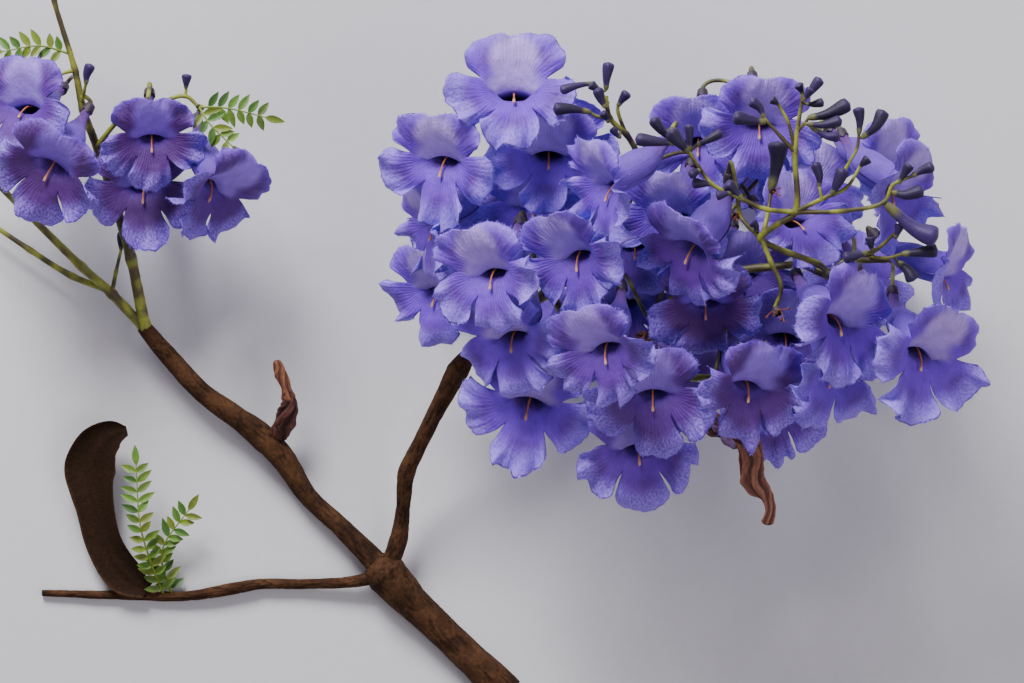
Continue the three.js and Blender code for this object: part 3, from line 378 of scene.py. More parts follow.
# Thinner stalks that grow from the stem named, and the buds at their ends. A bud is
# [foot across, foot down, tip across, tip down, height, width].
BRANCHLETS = {
    "bud_stem_left": [
        [[626, 134, 96, 1.4], [618, 112, 100, 1.2], [618, 104, 101, 1]],
        [[610, 118, 100, 1.3], [596, 116, 100, 1.1], [590, 112, 100, 1]],
        [[608, 104, 100, 1.2], [600, 90, 101, 1], [594, 83, 102, 1]],
        [[640, 150, 88, 1.4], [628, 158, 92, 1.2], [622, 168, 94, 1.2]],
    ],
    "bud_stem_right": [
        [[795, 212, 115, 1.8], [765, 209, 116, 1.5], [742, 199, 117, 1.4], [712, 184, 117, 1.3],
         [698, 166, 117, 1.3], [688, 152, 117, 1.2], [672, 140, 117, 1]],
        [[795, 212, 115, 1.8], [842, 211, 117, 1.5], [884, 202, 118, 1.4], [893, 185, 119, 1.2],
         [912, 176, 119, 1]],
        [[795, 212, 115, 1.7], [824, 198, 118, 1.4], [846, 188, 119, 1.2], [857, 172, 119, 1],
         [860, 166, 119, 0.9]],
        [[832, 196, 118, 1.2], [846, 168, 120, 1.1], [857, 148, 120, 1.1], [859, 134, 120, 1]],
        [[763, 236, 110, 1.8], [768, 212, 108, 1.4], [771, 190, 106, 1.2]],
        [[761, 238, 110, 1.8], [771, 262, 110, 1.6], [781, 288, 108, 1.4], [775, 308, 106, 1.2]],
        [[761, 238, 110, 1.7], [748, 226, 104, 1.4], [738, 214, 100, 1.2]],
        [[795, 152, 118, 1.5], [782, 138, 119, 1.2], [764, 118, 119, 1]],
        [[795, 150, 118, 1.3], [788, 122, 119, 1.1], [778, 104, 119, 1]],
        [[797, 132, 118, 1.3], [804, 124, 119, 1.1], [810, 116, 119, 1]],
        [[822, 200, 118, 1.2], [820, 190, 119, 1], [819, 186, 119, 1]],
        [[826, 274, 84, 1.8], [850, 258, 100, 1.4], [876, 250, 110, 1.3], [896, 232, 113, 1.1]],
        [[862, 255, 105, 1.3], [886, 258, 111, 1.1], [902, 254, 113, 1]],
    ],
    "left_flower_stalk": [
        [[97, 146, 34, 2], [124, 116, 42, 1.6], [158, 104, 46, 1.5], [185, 96, 48, 1.4],
         [200, 108, 48, 1.1]],
        [[75, 70, 40, 1.6], [64, 73, 41, 1.2], [60, 75, 41, 1]],
        [[82, 104, 37, 1.6], [84, 92, 42, 1.2], [86, 84, 43, 1]],
        [[185, 96, 48, 1.2], [186, 92, 48, 1], [186, 88, 48, 1]],
    ],
    "left_side_stalk": [
        [[108, 290, 15, 2.4], [72, 276, 13, 2.2], [30, 250, 11, 1.9], [-26, 212, 9, 1.4]],
        [[112, 293, 15, 1.6], [116, 272, 18, 1.3], [121, 250, 20, 1]],
    ],
}

BUDS = {
    "bud_stem_left": [
        [606, 90, 609, 62, 100, 3.6], [600, 92, 590, 84, 104, 3], [594, 83, 560, 91, 102, 3],
        [618, 106, 628, 92, 101, 3.2], [590, 112, 553, 109, 100, 3.9], [606, 108, 597, 88, 105, 3.4],
        [608, 122, 602, 112, 104, 2.6], [620, 138, 612, 128, 100, 2.6],
    ],
    "bud_stem_right": [
        [803, 94, 798, 84, 118, 3], [806, 98, 821, 78, 119, 3.4], [804, 100, 811, 88, 121, 2.6],
        [806, 104, 824, 102, 118, 2.8], [808, 118, 850, 103, 119, 4.6], [806, 124, 842, 120, 122, 3.4],
        [812, 128, 840, 137, 116, 3.2], [764, 118, 750, 100, 119, 3.4], [766, 122, 733, 117, 119, 4.2],
        [778, 104, 771, 99, 119, 2.6], [859, 134, 858, 107, 120, 3.6], [862, 138, 884, 110, 120, 4.2],
        [819, 186, 815, 162, 119, 3.2], [832, 194, 844, 168, 120, 4], [860, 166, 869, 158, 119, 3],
        [771, 190, 778, 141, 106, 6.2], [892, 192, 924, 190, 119, 4], [898, 184, 910, 164, 119, 3.2],
        [912, 176, 934, 166, 119, 3.4], [886, 204, 938, 238, 118, 6.4], [742, 199, 726, 183, 117, 4],
        [730, 193, 716, 196, 120, 3], [712, 184, 692, 183, 117, 3.2], [700, 170, 690, 176, 120, 3],
        [672, 140, 652, 118, 117, 3.6], [676, 143, 635, 139, 120, 4], [688, 152, 670, 130, 120, 4.4],
        [690, 150, 689, 124, 117, 2.8], [696, 146, 722, 132, 114, 3], [868, 252, 843, 258, 112, 3.6],
        [872, 250, 870, 237, 114, 3.2], [896, 238, 900, 224, 114, 3], [902, 254, 938, 250, 113, 4.2],
        [898, 262, 914, 281, 109, 4.4], [757, 232, 752, 222, 109, 2.8],
    ],
    "left_flower_stalk": [
        [60, 75, 50, 80, 41, 3.2], [86, 84, 91, 64, 43, 3.4], [186, 88, 187, 74, 48, 3.2],
        [50, -22, 46, -42, 44, 3.6], [52, -14, 66, -30, 45, 3.2],
    ],
    "left_side_stalk": [
        [-22, 166, -42, 150, 24, 3.6], [-18, 170, -22, 146, 25, 3], [-24, 214, -46, 202, 9, 3.4],
        [121, 250, 122, 232, 20, 2.8],
    ],
}

# Feathery leaves: [pixel, pixel, height] along the midrib.
LEAVES = {
    "left_flower_stalk": [
        [[199, 107, 48], [226, 108, 50], [268, 118, 49]],
        [[199, 107, 48], [210, 124, 52], [234, 148, 52]],
        [[70, 54, 41], [40, 46, 44], [0, 52, 44]],
    ],
    "low_twig": [
        [[172, 596, 3], [162, 552, 8], [190, 508, 12]],
        [[164, 596, 3], [150, 560, 12], [140, 524, 17], [136, 462, 16]],
    ],
}

# Runs of [pixel across, pixel down, height, width] of the dry pieces.
POD_RUN = [[127, 431, 12, 3], [114, 434, 11.6, 10], [99, 446, 10.6, 15.4], [91, 470, 9, 18],
           [96, 508, 8, 12.8], [106, 546, 7, 12.8], [126, 576, 6.4, 13.6], [148, 590, 6, 6]]
POD_FLATNESS = 0.34
POD_RIM_UP = 0.55  # how high the shell's rim stands, and how deep its hollow face lies
POD_DISH = 0.62
DRIED_RUN = [[709, 400, 84, 2], [705, 418, 84, 8.4], [724, 431, 84, 5.4], [746, 441, 83, 7.6],
             [751, 458, 82, 7.2], [753, 480, 80, 7.8], [767, 497, 78, 3.8], [770, 511, 77, 3.2],
             [766, 525, 76, 4]]
DRIED_FLATNESS = 0.4
# Scraps of its lobes: pixel across, pixel down, and the way that each points in the picture.
DRIED_SCRAPS = [[712, 424, 0.9, -0.5], [728, 430, 1, -0.1], [742, 434, 0.8, 0.5], [722, 434, 0.6, -0.6]]
STUB_RUN = [[276, 440, 9, 4.6], [285, 421, 14, 7.6], [289, 402, 18, 5.2], [286, 388, 20, 3.2],
            [280, 371, 21, 4.2], [276, 360, 22, 2]]
STUB_FLATNESS = 0.9
WITHERED_BUD_RUN = [[640, 343, 88, 2.6], [643, 338, 90, 5], [645, 333, 92, 2.8]]

# Remains of fallen flowers at the ends of stalks: [pixel, pixel, height, size] and the way it looks.
TUFT_STAMENS = 9
TUFT_RINGS = 7
TUFT_SIDES = 14
ANTHER_RINGS = 9
ANTHER_SIDES = 6
TUFTS = {
    "bud_stem_right": [
        [775, 308, 106, 2.6, [0.5, -0.8, 0.4]], [860, 266, 107, 2.2, [-0.5, -0.7, 0.4]],
        [771, 190, 106, 1.8, [0.3, -0.2, 0.9]], [738, 214, 100, 2.0, [-0.4, -0.3, 0.8]],
    ],
}

# Blooms in the solids' order: where the mouth looks (right, up, out of the picture), the side of
# the picture that its upper lobes lie on in degrees, its size, and how far its tube bends where
# that isn't TUBE_BEND.
BLOOMS = [
    ("front_low", [-0.42, -0.46, 0.78], 106, 0.98),
    ("front_side_tube", [-0.86, -0.3, 0.4], 80, 1, 42),
    ("front_arched", [-0.62, -0.5, 0.55], 64, 1, 85),
    ("front_right", [0.64, -0.2, 0.74], 62, 1.06),
    ("right_low", [0.5, -0.4, 0.77], 66, 1.08),
    ("front_middle", [-0.54, -0.42, 0.73], 106, 0.98),
    ("front_inner", [-0.3, -0.34, 0.89], 86, 0.96),
    ("centre_low", [0.02, -0.4, 0.91], 90, 0.96),
    ("left_middle", [-0.48, -0.3, 0.82], 100, 1),
    ("front_base", [0.36, -0.42, 0.83], 76, 1),
    ("low_middle", [-0.04, -0.36, 0.93], 92, 1.02),
    ("left_low", [-0.45, -0.38, 0.81], 102, 1),
    ("top", [0, 0.28, 0.96], 90, 1.06),
    ("top_second", [0.02, -0.16, 0.98], 88, 0.96),
    ("left_upper", [-0.42, -0.34, 0.84], 84, 1),
    ("left_edge", [-0.9, -0.32, 0.3], 82, 1, 44),
    ("left_edge_low", [-0.6, -0.3, 0.66], 82, 0.96, 55),
    ("base_left", [-0.14, -0.36, 0.92], 80, 1.1),
    ("base_hanging", [-0.04, -0.32, 0.94], 94, 1.02),
    ("right_edge", [0.9, -0.2, 0.34], 76, 0.98, 36),
    ("right_hanging", [0.42, -0.6, 0.6], 66, 0.98, 80),
    ("right_upper", [0.72, -0.4, 0.5], 62, 1.02, 35),
    ("right_back", [0.66, -0.1, 0.6], 94, 0.94, 50),
    ("inner_cup", [0.5, 0.2, 0.84], 100, 0.92, 60),
    ("upper_left", [-0.12, -0.3, 0.94], 92, 0.96),
    ("upper_right", [0.1, -0.28, 0.95], 86, 0.98),
    ("inner_left", [-0.16, -0.34, 0.92], 94, 0.96),
    ("inner_dark", [-0.2, -0.3, 0.9], 100, 0.88),
    ("base_right", [0.12, -0.46, 0.82], 86, 0.92),
    ("middle_back", [0.1, -0.3, 0.94], 90, 1),
    ("centre_back", [0.2, -0.3, 0.93], 80, 1),
    ("middle_left", [-0.1, -0.3, 0.95], 96, 1),
    ("right_inner", [0.3, 0.16, 0.94], 84, 1),
    ("far_left_top", [0.1, -0.34, 0.93], 90, 0.88),
    ("far_left_middle", [-0.06, -0.3, 0.95], 90, 1),
    ("far_left_low", [-0.3, -0.5, 0.8], 62, 1, 40),
    ("far_left_hanging", [0.5, -0.64, 0.5], 44, 1, 40),
    ("far_left_edge", [-0.4, 0.1, 0.9], 84, 0.96),
    ("under_left", [-0.5, -0.2, -0.85], 96, 1),
    ("under_top", [-0.1, 0.3, -0.95], 90, 1),
    ("under_low", [-0.3, -0.4, -0.85], 100, 1),
    ("under_base", [0.05, -0.5, -0.85], 88, 1),
    ("under_upper", [0.05, 0.35, -0.92], 84, 1),
    ("under_edge", [0.35, -0.25, -0.88], 76, 1),
]


# Curves through given places

def place(across, down, height):
    """The spot at a pixel and a height, before the branch is moved to the middle of its box."""
    reach = (EYE_HEIGHT - height) / (EYE_HEIGHT - FLOWER_HEIGHT)
    scale = PICTURE_SPAN / PICTURE_WIDTH * reach
    return np.array([(across - PICTURE_WIDTH / 2) * scale, (PICTURE_HEIGHT / 2 - down) * scale, height])


class Curve:
    """A smooth curve through points, with knots spaced by the root of their distance."""

    def __init__(self, points):
        inner = np.array(points, float)
        first = 2 * inner[0] - inner[1]
        last = 2 * inner[-1] - inner[-2]
        self.points = np.vstack([first, inner, last])
        self.spans = len(inner) - 1

    def at(self, shares):
        """The points at these shares of the way."""
        spot = np.clip(np.asarray(shares, float), 0, 1) * self.spans
        span = np.minimum(spot.astype(int), self.spans - 1)
        t = (spot - span)[:, None]
        p0, p1, p2, p3 = (self.points[span + k] for k in range(4))
        d0, d1, d2 = (
            np.sqrt(np.linalg.norm(b - a, axis=1))[:, None] for a, b in ((p0, p1), (p1, p2), (p2, p3))
        )
        start = ((p1 - p0) / d0 - (p2 - p0) / (d0 + d1) + (p2 - p1) / d1) * d1
        end = ((p2 - p1) / d1 - (p3 - p1) / (d1 + d2) + (p3 - p2) / d2) * d1
        return (
            p1 + start * t + (3 * (p2 - p1) - 2 * start - end) * t**2
            + (2 * (p1 - p2) + start + end) * t**3
        )

    def ahead(self, shares):
        shares = np.asarray(shares, float)
        way = self.at(np.minimum(shares + AHEAD_STEP, 1)) - self.at(np.maximum(shares - AHEAD_STEP, 0))
        return way / np.linalg.norm(way, axis=1)[:, None]

    def length(self):
        points = self.at(np.linspace(0, 1, LENGTH_STEPS))
        return np.linalg.norm(np.diff(points, axis=0), axis=1).sum()

    def even(self, count):
        """Shares that lie evenly along the length."""
        shares = np.linspace(0, 1, EVEN_STEPS)
        steps = np.linalg.norm(np.diff(self.at(shares), axis=0), axis=1)
        return np.interp(np.linspace(0, 1, count), np.append(0, steps.cumsum()) / steps.sum(), shares)


class Bezier(Curve):
    """A curve from one end to the other with two handles."""

    def __init__(self, points):
        self.points = np.array(points, float)

    def at(self, shares):
        t = np.asarray(shares, float)[:, None]
        a, b, c, d = self.points
        return a * (1 - t) ** 3 + 3 * b * t * (1 - t) ** 2 + 3 * c * t**2 * (1 - t) + d * t**3


def run_curve(run):
    return Curve([place(*row[:3]) for row in run])


def run_start(run):
    """Where a run starts and the way that points out of its start."""
    curve = run_curve(run)
    return curve.at([0])[0], -curve.ahead([0])[0]


def diameters(run, shares):
    return np.interp(shares, np.linspace(0, 1, len(run)), [row[3] for row in run])


def frames_along(curve, shares):
    """The centre and the two sideways directions at each share, turning as little as they can."""
    centres = curve.at(shares)
    aheads = curve.ahead(shares)
    sides = []
    side = UP
    for ahead in aheads:
        if abs(side @ ahead) > PARALLEL:
            side = np.array([1.0, 0.0, 0.0])
        side = side - (side @ ahead) * ahead
        side = side / np.linalg.norm(side)
        sides.append(side)
    sides = np.array(sides)
    return centres, sides, np.cross(aheads, sides)


def ring_turns(count):
    """The angles of points spaced evenly round a ring."""
    return np.arange(count) / count * 2 * math.pi


def rings_along(curve, shares, count, thick, wide=None):
    """Rings of points round a curve, with half widths given for each ring or each point."""
    centres, sides, others = frames_along(curve, shares)
    turns = ring_turns(count)
    thick = np.asarray(thick, float).reshape(len(centres), -1)
    wide = thick if wide is None else np.asarray(wide, float).reshape(len(centres), -1)
    return (
        centres[:, None]
        + sides[:, None] * (thick * np.cos(turns))[..., None]
        + others[:, None] * (wide * np.sin(turns))[..., None]
    )


def box_of(points):
    flat = points.reshape(-1, 3)
    return flat.min(0), flat.max(0)


def node_box(name):
    low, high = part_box(name)
    return np.array(low) / MM, np.array(high) / MM


def frame_shift():
    """The move that centres the branch, read from the main branch, which the source leaves whole."""
    run = WOOD["main_branch"]
    shares = np.linspace(0, 1, 2 * (len(run) - 1) + 1)
    rings = rings_along(run_curve(run), shares, SOLID_SIDES, diameters(run, shares) / 2)
    low, high = box_of(rings)
    cad_low, cad_high = node_box("main_branch")
    return (cad_low + cad_high - low - high) / 2


SHIFT = frame_shift()


# Meshes

def grid_faces(rows, columns, closed=False):
    """Four-cornered faces over rows of points, joined round where closed."""
    across = np.arange(columns if closed else columns - 1)
    row = np.arange(rows - 1)[:, None] * columns
    a = row + across
    b = row + (across + 1) % columns
    return np.stack([a, b, b + columns, a + columns], -1).reshape(-1, 4)


class Shape:
    """Points with a colour each, and faces with a material and a map place at each corner."""

    def __init__(self):
        self.points = []
        self.colours = []
        self.maps = []
        self.faces = []
        self.count = 0

    def add(self, points, faces, colour, material=0, frost=0.0, places=None):
        """Adds points, faces over them, and their colours, share of frost and map places."""
        flat = np.asarray(points, float).reshape(-1, 3)
        tint = np.ones((len(flat), 4))
        tint[:, :3] = np.broadcast_to(colour, np.shape(points)).reshape(-1, 3)
        tint[:, 3] = np.broadcast_to(frost, np.shape(points)[:-1]).reshape(-1)
        self.points.append(flat)
        self.colours.append(tint)
        spots = np.zeros((len(flat), 2)) if places is None else places.reshape(-1, 2)
        self.maps += spots[np.asarray(faces)].tolist()
        self.faces += [(material, *face) for face in (np.asarray(faces) + self.count).tolist()]
        self.count += len(flat)

    def close(self, ring, centre, colour, material=0, flip=False):
        """Fills a ring of points with triangles to its centre."""
        count = len(ring)
        faces = np.array([[k, (k + 1) % count, count] for k in range(count)])
        self.add(np.vstack([ring, centre]), faces[:, ::-1] if flip else faces, colour, material)

    def welded(self):
        """The same shape with points that lie on one another made one."""
        points = np.vstack(self.points)
        keys = np.round(points / WELD_DISTANCE).astype(np.int64)
        _, first, same = np.unique(keys, axis=0, return_index=True, return_inverse=True)
        same = same.reshape(-1)
        made = Shape()
        made.points = [points[first]]
        made.colours = [np.vstack(self.colours)[first]]
        made.count = len(first)
        for (material, *face), spots in zip(self.faces, self.maps):
            kept = {}
            for corner, spot in zip(face, spots):
                kept.setdefault(int(same[corner]), spot)
            if len(kept) > 2:
                made.faces.append((material, *kept))
                made.maps.append(list(kept.values()))
        return made

    def piece(self, name, materials, nodes, slot):
        """Makes the mesh object, which stands for these nodes of the solids and lies on the floor."""
        points = np.vstack(self.points) + SHIFT
        points[:, 2] = np.maximum(points[:, 2], 0)
        mesh = bpy.data.meshes.new(name)
        mesh.from_pydata((points * MM).tolist(), [], [face[1:] for face in self.faces])
        mesh.polygons.foreach_set("material_index", [face[0] for face in self.faces])
        mesh.polygons.foreach_set("use_smooth", [True] * len(self.faces))
        tint = mesh.color_attributes.new("tint", "FLOAT_COLOR", "POINT")
        tint.data.foreach_set("color", np.vstack(self.colours).ravel())
        layer = mesh.uv_layers.new(name="along")
        layer.uv.foreach_set("vector", np.array([spot for face in self.maps for spot in face]).ravel())
        for material in materials:
            mesh.materials.append(material)
        mesh.update()
        made = bpy.data.objects.new(name, mesh)
        bpy.context.scene.collection.objects.link(made)
        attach(made, "root")
        if nodes:
            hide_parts(*nodes)
        return made


def mixed(one, two, share):
    """Colours from one to two, for a share at every point."""
    share = np.clip(share, 0, 1)[..., None]
    return one * (1 - share) + two * share


def eased(value, low, high):
    share = np.clip((value - low) / (high - low), 0, 1)
    return share * share * (3 - 2 * share)


def rough(points, scale, seed=0.0):
    """Smooth noise from -1 to 1 at each point, with bumps of the scale given."""
    flat = np.asarray(points, float).reshape(-1, 3) / scale + seed
    values = [noise.noise(Vector(point)) for point in flat.tolist()]
    return np.array(values).reshape(np.shape(points)[:-1])


# The form of a bloom, as in the solids

def lobe_edge(index, hand):
    near = LOBES[index]["angle"]
    after = LOBES[(index + hand) % len(LOBES)]["angle"]
    if hand > 0 and after < near:
        after += 360
    if hand < 0 and after > near:
        after -= 360
    return math.radians((near + after) / 2)


def lobe_angles(index, sides):
    """Angles round the mouth across a lobe, from one edge at -1 to the other at 1."""
    middle = math.radians(LOBES[index]["angle"])
    edges = np.where(sides < 0, lobe_edge(index, -1), lobe_edge(index, 1))
    return middle + (edges - middle) * np.abs(sides)


def tube_middle(shares, bend):
    """The tube's middle line, its direction and its upper side, from the mouth at 0 to 1."""
    shares = np.asarray(shares, float)
    steps = (np.arange(TUBE_STEPS) + 0.5) / TUBE_STEPS
    turn = bend * (steps * shares[:, None]) ** BEND_POWER
    reach = (shares * TUBE_LENGTH / TUBE_STEPS)[:, None]
    zero = np.zeros(len(shares))
    spot = np.stack([zero, (np.sin(turn) * reach).sum(1), -(np.cos(turn) * reach).sum(1)], -1)
    turn = bend * shares**BEND_POWER
    way = np.stack([zero, np.sin(turn), -np.cos(turn)], -1)
    return spot, way, np.stack([zero, np.cos(turn), np.sin(turn)], -1)


def tube_points(shares, angles, bend, inward=0.0, roofed=False):
    """Points of the tube's skin. inward moves them in from it, and roofed lowers the upper side."""
    shares = np.asarray(shares, float)
    spot, _, normal = tube_middle(shares, bend)
    neck = eased(shares, *NECK)
    flare = np.maximum(0, 1 - shares / BELL_START) ** 2

    def half(bell, rim):
        size = (bell * (1 - neck) + BASE_RADIUS * neck) * (1 - flare) + rim * flare
        return size[:, None] - inward

    wide = half(BELL_HALF_WIDTH, RIM_HALF_WIDTH) * np.cos(angles)
    high = half(BELL_HALF_HEIGHT, RIM_HALF_HEIGHT) * np.sin(angles) - (RIM_DROP * flare)[:, None]
    if roofed:
        drawn = np.minimum(1, shares / ROOF_SHARE)[:, None] ** ROOF_CURVE
        roof = np.minimum(high, ROOF_HEIGHT - ROOF_ARCH * wide**2)
        high = high + (np.maximum(roof, FLOOR_HEIGHT) - high) * drawn
    points = spot[:, None] + normal[:, None] * high[..., None]
    points[..., 0] += wide
    return points


def lobe_arc(lobe, shape, reach):
    """How far out and how far forward a lobe's middle line has come after this reach."""
    start = math.radians(lobe["start"])
    bend = shape["end"] - start
    way = start + bend * reach / lobe["length"]
    scale = lobe["length"] / bend * shape["stretch"]
    return way, scale * (math.cos(start) - np.cos(way)), scale * (np.sin(way) - math.sin(start))


def lobe_points(index, shape, sides, along, lift, thin=0.0):
    """Points of a lobe: side runs from -1 to 1 across it and along from 0 at the rim to 1."""
    lobe = LOBES[index]
    middle_angle = math.radians(lobe["angle"])
    foot = tube_points([0], lobe_angles(index, sides), 0)[0]
    start = tube_points([0], np.array([middle_angle]), 0)[0, 0]
    outward = np.array([math.cos(middle_angle), math.sin(middle_angle), 0])
    across = np.array([-outward[1], outward[0], 0])
    half = lobe["width"] / 2 * shape.get("wider", 1)
    middle = lobe["length"] * LOBE_MIDDLE
    turn = sides * LOBE_ROUNDNESS
    reach = (middle + (lobe["length"] - middle) * np.cos(turn)) * shape.get("outline", 1)
    reach = reach * along[:, None]
    lean = shape.get("lean", 0) * along[:, None] ** 2
    shift = (half * np.sin(turn) - (foot - start) @ across) * along[:, None] + lean
    way, out, front = lobe_arc(lobe, shape, reach)
    face = -np.cos(way)[..., None] * outward
    face[..., 2] += np.sin(way)
    level = ((foot - start) @ outward) * along[:, None]
    cup = PETAL_CUP * half * sides**2 * along[:, None]
    points = foot + across * shift[..., None] + outward * (out - level)[..., None]
    points[..., 2] += front
    points = points + face * (lift - cup)[..., None]
    if "seam" not in shape:
        return points
    join = np.maximum(0, shape["hand"] * sides) ** SEAM_POWER
    return points + (seam_points(shape["seam"], foot, along, thin) - points) * join[:, None]


def seam_points(seam, foot, along, thin):
    """The line where the two upper lobes meet, moved at its foot to each place of the rim."""
    lobe = LOBES[UPPER_LOBES[0]]
    top = tube_points([0], np.array([math.pi / 2]), 0)[0, 0]
    way, out, front = lobe_arc(lobe, seam, lobe["length"] * SEAM_REACH * along)
    line = top + np.stack([np.zeros(len(along)), out - np.cos(way) * thin, front + np.sin(way) * thin], -1)
    return line[:, None] + (foot - top) * (1 - along)[:, None, None]


def lobe_shapes(seed):
    """The stretch and the turn of each lobe, by the same run of numbers as in the solids."""
    state = seed * SEED_STEP + SEED_START
    shapes = []
    for lobe in LOBES:
        draws = []
        for _ in range(2):
            state = state * DRAW_FACTOR % DRAW_RANGE
            draws.append(2 * state / DRAW_RANGE - 1)
        end = math.radians(lobe["end"]) + BEND_SPREAD * draws[1]
        shapes.append({"stretch": 1 + LENGTH_SPREAD * draws[0], "end": end})
    return shapes


def bloom_axes(look, lip):
    """The bloom's right, upper and outward directions, as the rows of a matrix."""
    out = np.array(look) / np.linalg.norm(look)
    up = np.array([math.cos(math.radians(lip)), math.sin(math.radians(lip)), 0])
    up = up - (up @ out) * out
    up = up / np.linalg.norm(up)
    return np.array([np.cross(up, out), up, out])


def coarse_points(shapes, bend):
    """The corner points of the bloom's solid, which give its box."""
    columns = np.array(LOBE_COLUMNS)
    side_row = np.array([LOBE_SIDE_ROW])
    thick_row = np.array([LOBE_THICK_ROW])
    corners = []
    for index, shape in enumerate(shapes):
        corners.append(lobe_points(index, shape, columns, np.array([1.0]), 0)[0])
        corners.append(lobe_points(index, shape, columns[[0, -1]], side_row, 0)[0])
        for lift in (-PETAL_THICKNESS / 2, PETAL_THICKNESS / 2):
            corners.append(lobe_points(index, shape, columns[1:-1], thick_row, lift)[0])
        angles = np.array([lobe_edge(index, -1), math.radians(LOBES[index]["angle"])])
        corners.append(tube_points((0, *BELL_STATIONS), angles, bend).reshape(-1, 3))
    corners.append(tube_middle([1], bend)[0])
    return np.vstack(corners)


class Bloom:
    """One bloom where the solids have it, with the finer shape that grows on it."""

    def __init__(self, seed, name, look, lip, size, bend=TUBE_BEND):
        self.seed = seed
        self.name = name
        self.node = f"bloom_{name}"
        self.bend = math.radians(bend)
        self.axes = bloom_axes(look, lip) * size
        self.shapes = lobe_shapes(seed)
        low, high = box_of(coarse_points(self.shapes, self.bend) @ self.axes)
        cad_low, cad_high = node_box(self.node)
        if np.abs((high - low) - (cad_high - cad_low)).max() > BOX_SLACK:
            raise ValueError(f"{self.node} doesn't fit its solid")
        self.mouth = (cad_low + cad_high - low - high) / 2 - SHIFT
        spot, way, _ = tube_middle([1], self.bend)
        self.foot = spot[0] @ self.axes + self.mouth
        self.back = way[0] @ self.axes / size


def finer_shapes(shapes, sides, random):
    """Ruffles, folds, a toothed outline and small differences for each lobe."""
    made = []
    for index, shape in enumerate(shapes):
        upper = index in UPPER_LOBES
        much = UPPER_RUFFLE if upper else 1
        notch = NOTCH * random.random() * (UPPER_NOTCH if upper else 1)
        outline = 1 - notch * np.exp(-((sides - 0.15 * random.normal()) / NOTCH_WIDTH) ** 2)
        outline += EDGE_WAVES * much * np.sin(sides * random.uniform(8, 12) + random.uniform(0, 6))
        outline += EDGE_TEETH * np.sin(sides * random.uniform(22, 28) + random.uniform(0, 6))
        made.append({
            **shape,
            "outline": outline * (1 if upper else random.uniform(0.94, 1.1)),
            "end": shape["end"] + (0 if upper else random.uniform(-0.26, 0.16)),
            "wider": WIDER * random.uniform(0.86, 1.06),
            "lean": 0 if upper else LEAN * random.uniform(-1, 1),
            "ruffle": RUFFLE * random.uniform(0.5, 1.25) * much,
            "waves": random.uniform(4.5, 8),
            "phase": random.uniform(0, 2 * math.pi),
            "crinkle": CRINKLE * random.uniform(0.7, 1.3) * much,
            "curl": CURL * random.uniform(-1, 0.55) * (UPPER_CURL if upper else 1),
            "fold": FOLD * random.uniform(-1, 0.8) * much,
            "tilt": random.uniform(-TILT, TILT) * much,
        })
    seam = {key: (made[0][key] + made[1][key]) / 2 for key in ("stretch", "end")}
    for index, hand in zip(UPPER_LOBES, (1, -1)):
        made[index]["seam"] = seam
        made[index]["hand"] = hand
    return made


def lobe_relief(shape, sides, along):
    """How far a lobe's face stands off its plain form: waves, a groove, a fold and a curled edge."""
    a = along[:, None]
    bent = sides + 0.22 * np.sin(2.3 * sides + shape["phase"])
    waves = shape["ruffle"] * np.sin(bent * shape["waves"] + shape["phase"] + 1.5 * a) * a**2
    fine = shape["crinkle"] * np.sin(bent * 2.3 * shape["waves"] + 3 * shape["phase"] + 4 * a) * a**2.6
    pleats = PLEAT * np.sin(sides * 21 + shape["phase"]) * np.sin(math.pi * a)
    groove = -GROOVE * np.exp(-(sides / GROOVE_WIDTH) ** 2) * np.sin(math.pi * a)
    bend = shape["curl"] * a**4 + shape["fold"] * np.abs(sides) ** 1.6 * a
    return waves + fine + pleats + groove + bend + shape["tilt"] * sides * a


def lobe_colours(index, points, sides, along, inside, tone):
    """Violet lobes, paler at the edge, with a pale patch at the foot of the two upper ones."""
    a = along[:, None] * np.ones_like(sides)
    edge = np.maximum(a, np.abs(sides) * eased(a, 0.1, 0.7))
    colour = mixed(tone["petal"], tone["pale"], 0.6 * eased(edge, 0.7, 1))
    middle = np.exp(-((a - 0.35) / 0.3) ** 2) * np.exp(-(sides / 0.6) ** 2)
    colour = mixed(colour, PETAL_DEEP, 0.6 * middle)
    if not inside:
        return mixed(colour, TUBE, np.full_like(a, 0.3))
    if index in UPPER_LOBES:
        wide, high = PATCH_REACH
        away = np.hypot(points[..., 0] / wide, (points[..., 1] - PATCH_MIDDLE) / high)
        return mixed(colour, tone["patch"], PATCH_SHARE * (1 - eased(away, 0.62, 1.12)))
    return mixed(colour, tone["pale"], 0.35 * eased(a, 0.2, 0.8))


def tube_colours(shares, angles, inside, tone):
    """A violet tube with a purple foot. Inside it grows darker with depth, a painted shade, under a pale
    roof at the mouth.
    """
    share = np.asarray(shares)[:, None] * np.ones_like(angles)
    if not inside:
        colour = mixed(tone["petal"], TUBE, eased(share, 0, 0.3))
        return mixed(colour, TUBE_FOOT, 0.8 * eased(share, 0.55, 0.95))
    # Inside, the violet is painted darker with depth: a painted shade in the throat.
    colour = mixed(tone["petal"], THROAT, eased(share, 0.03, 0.18))
    colour = mixed(colour, THROAT_SHADE, eased(share, 0.25, 0.5))
    roof = eased(np.sin(angles), -0.05, 0.35) * (1 - eased(share, ROOF_SHARE, ROOF_SHARE + 0.06))
    return mixed(colour, tone["patch"], PATCH_SHARE * roof)


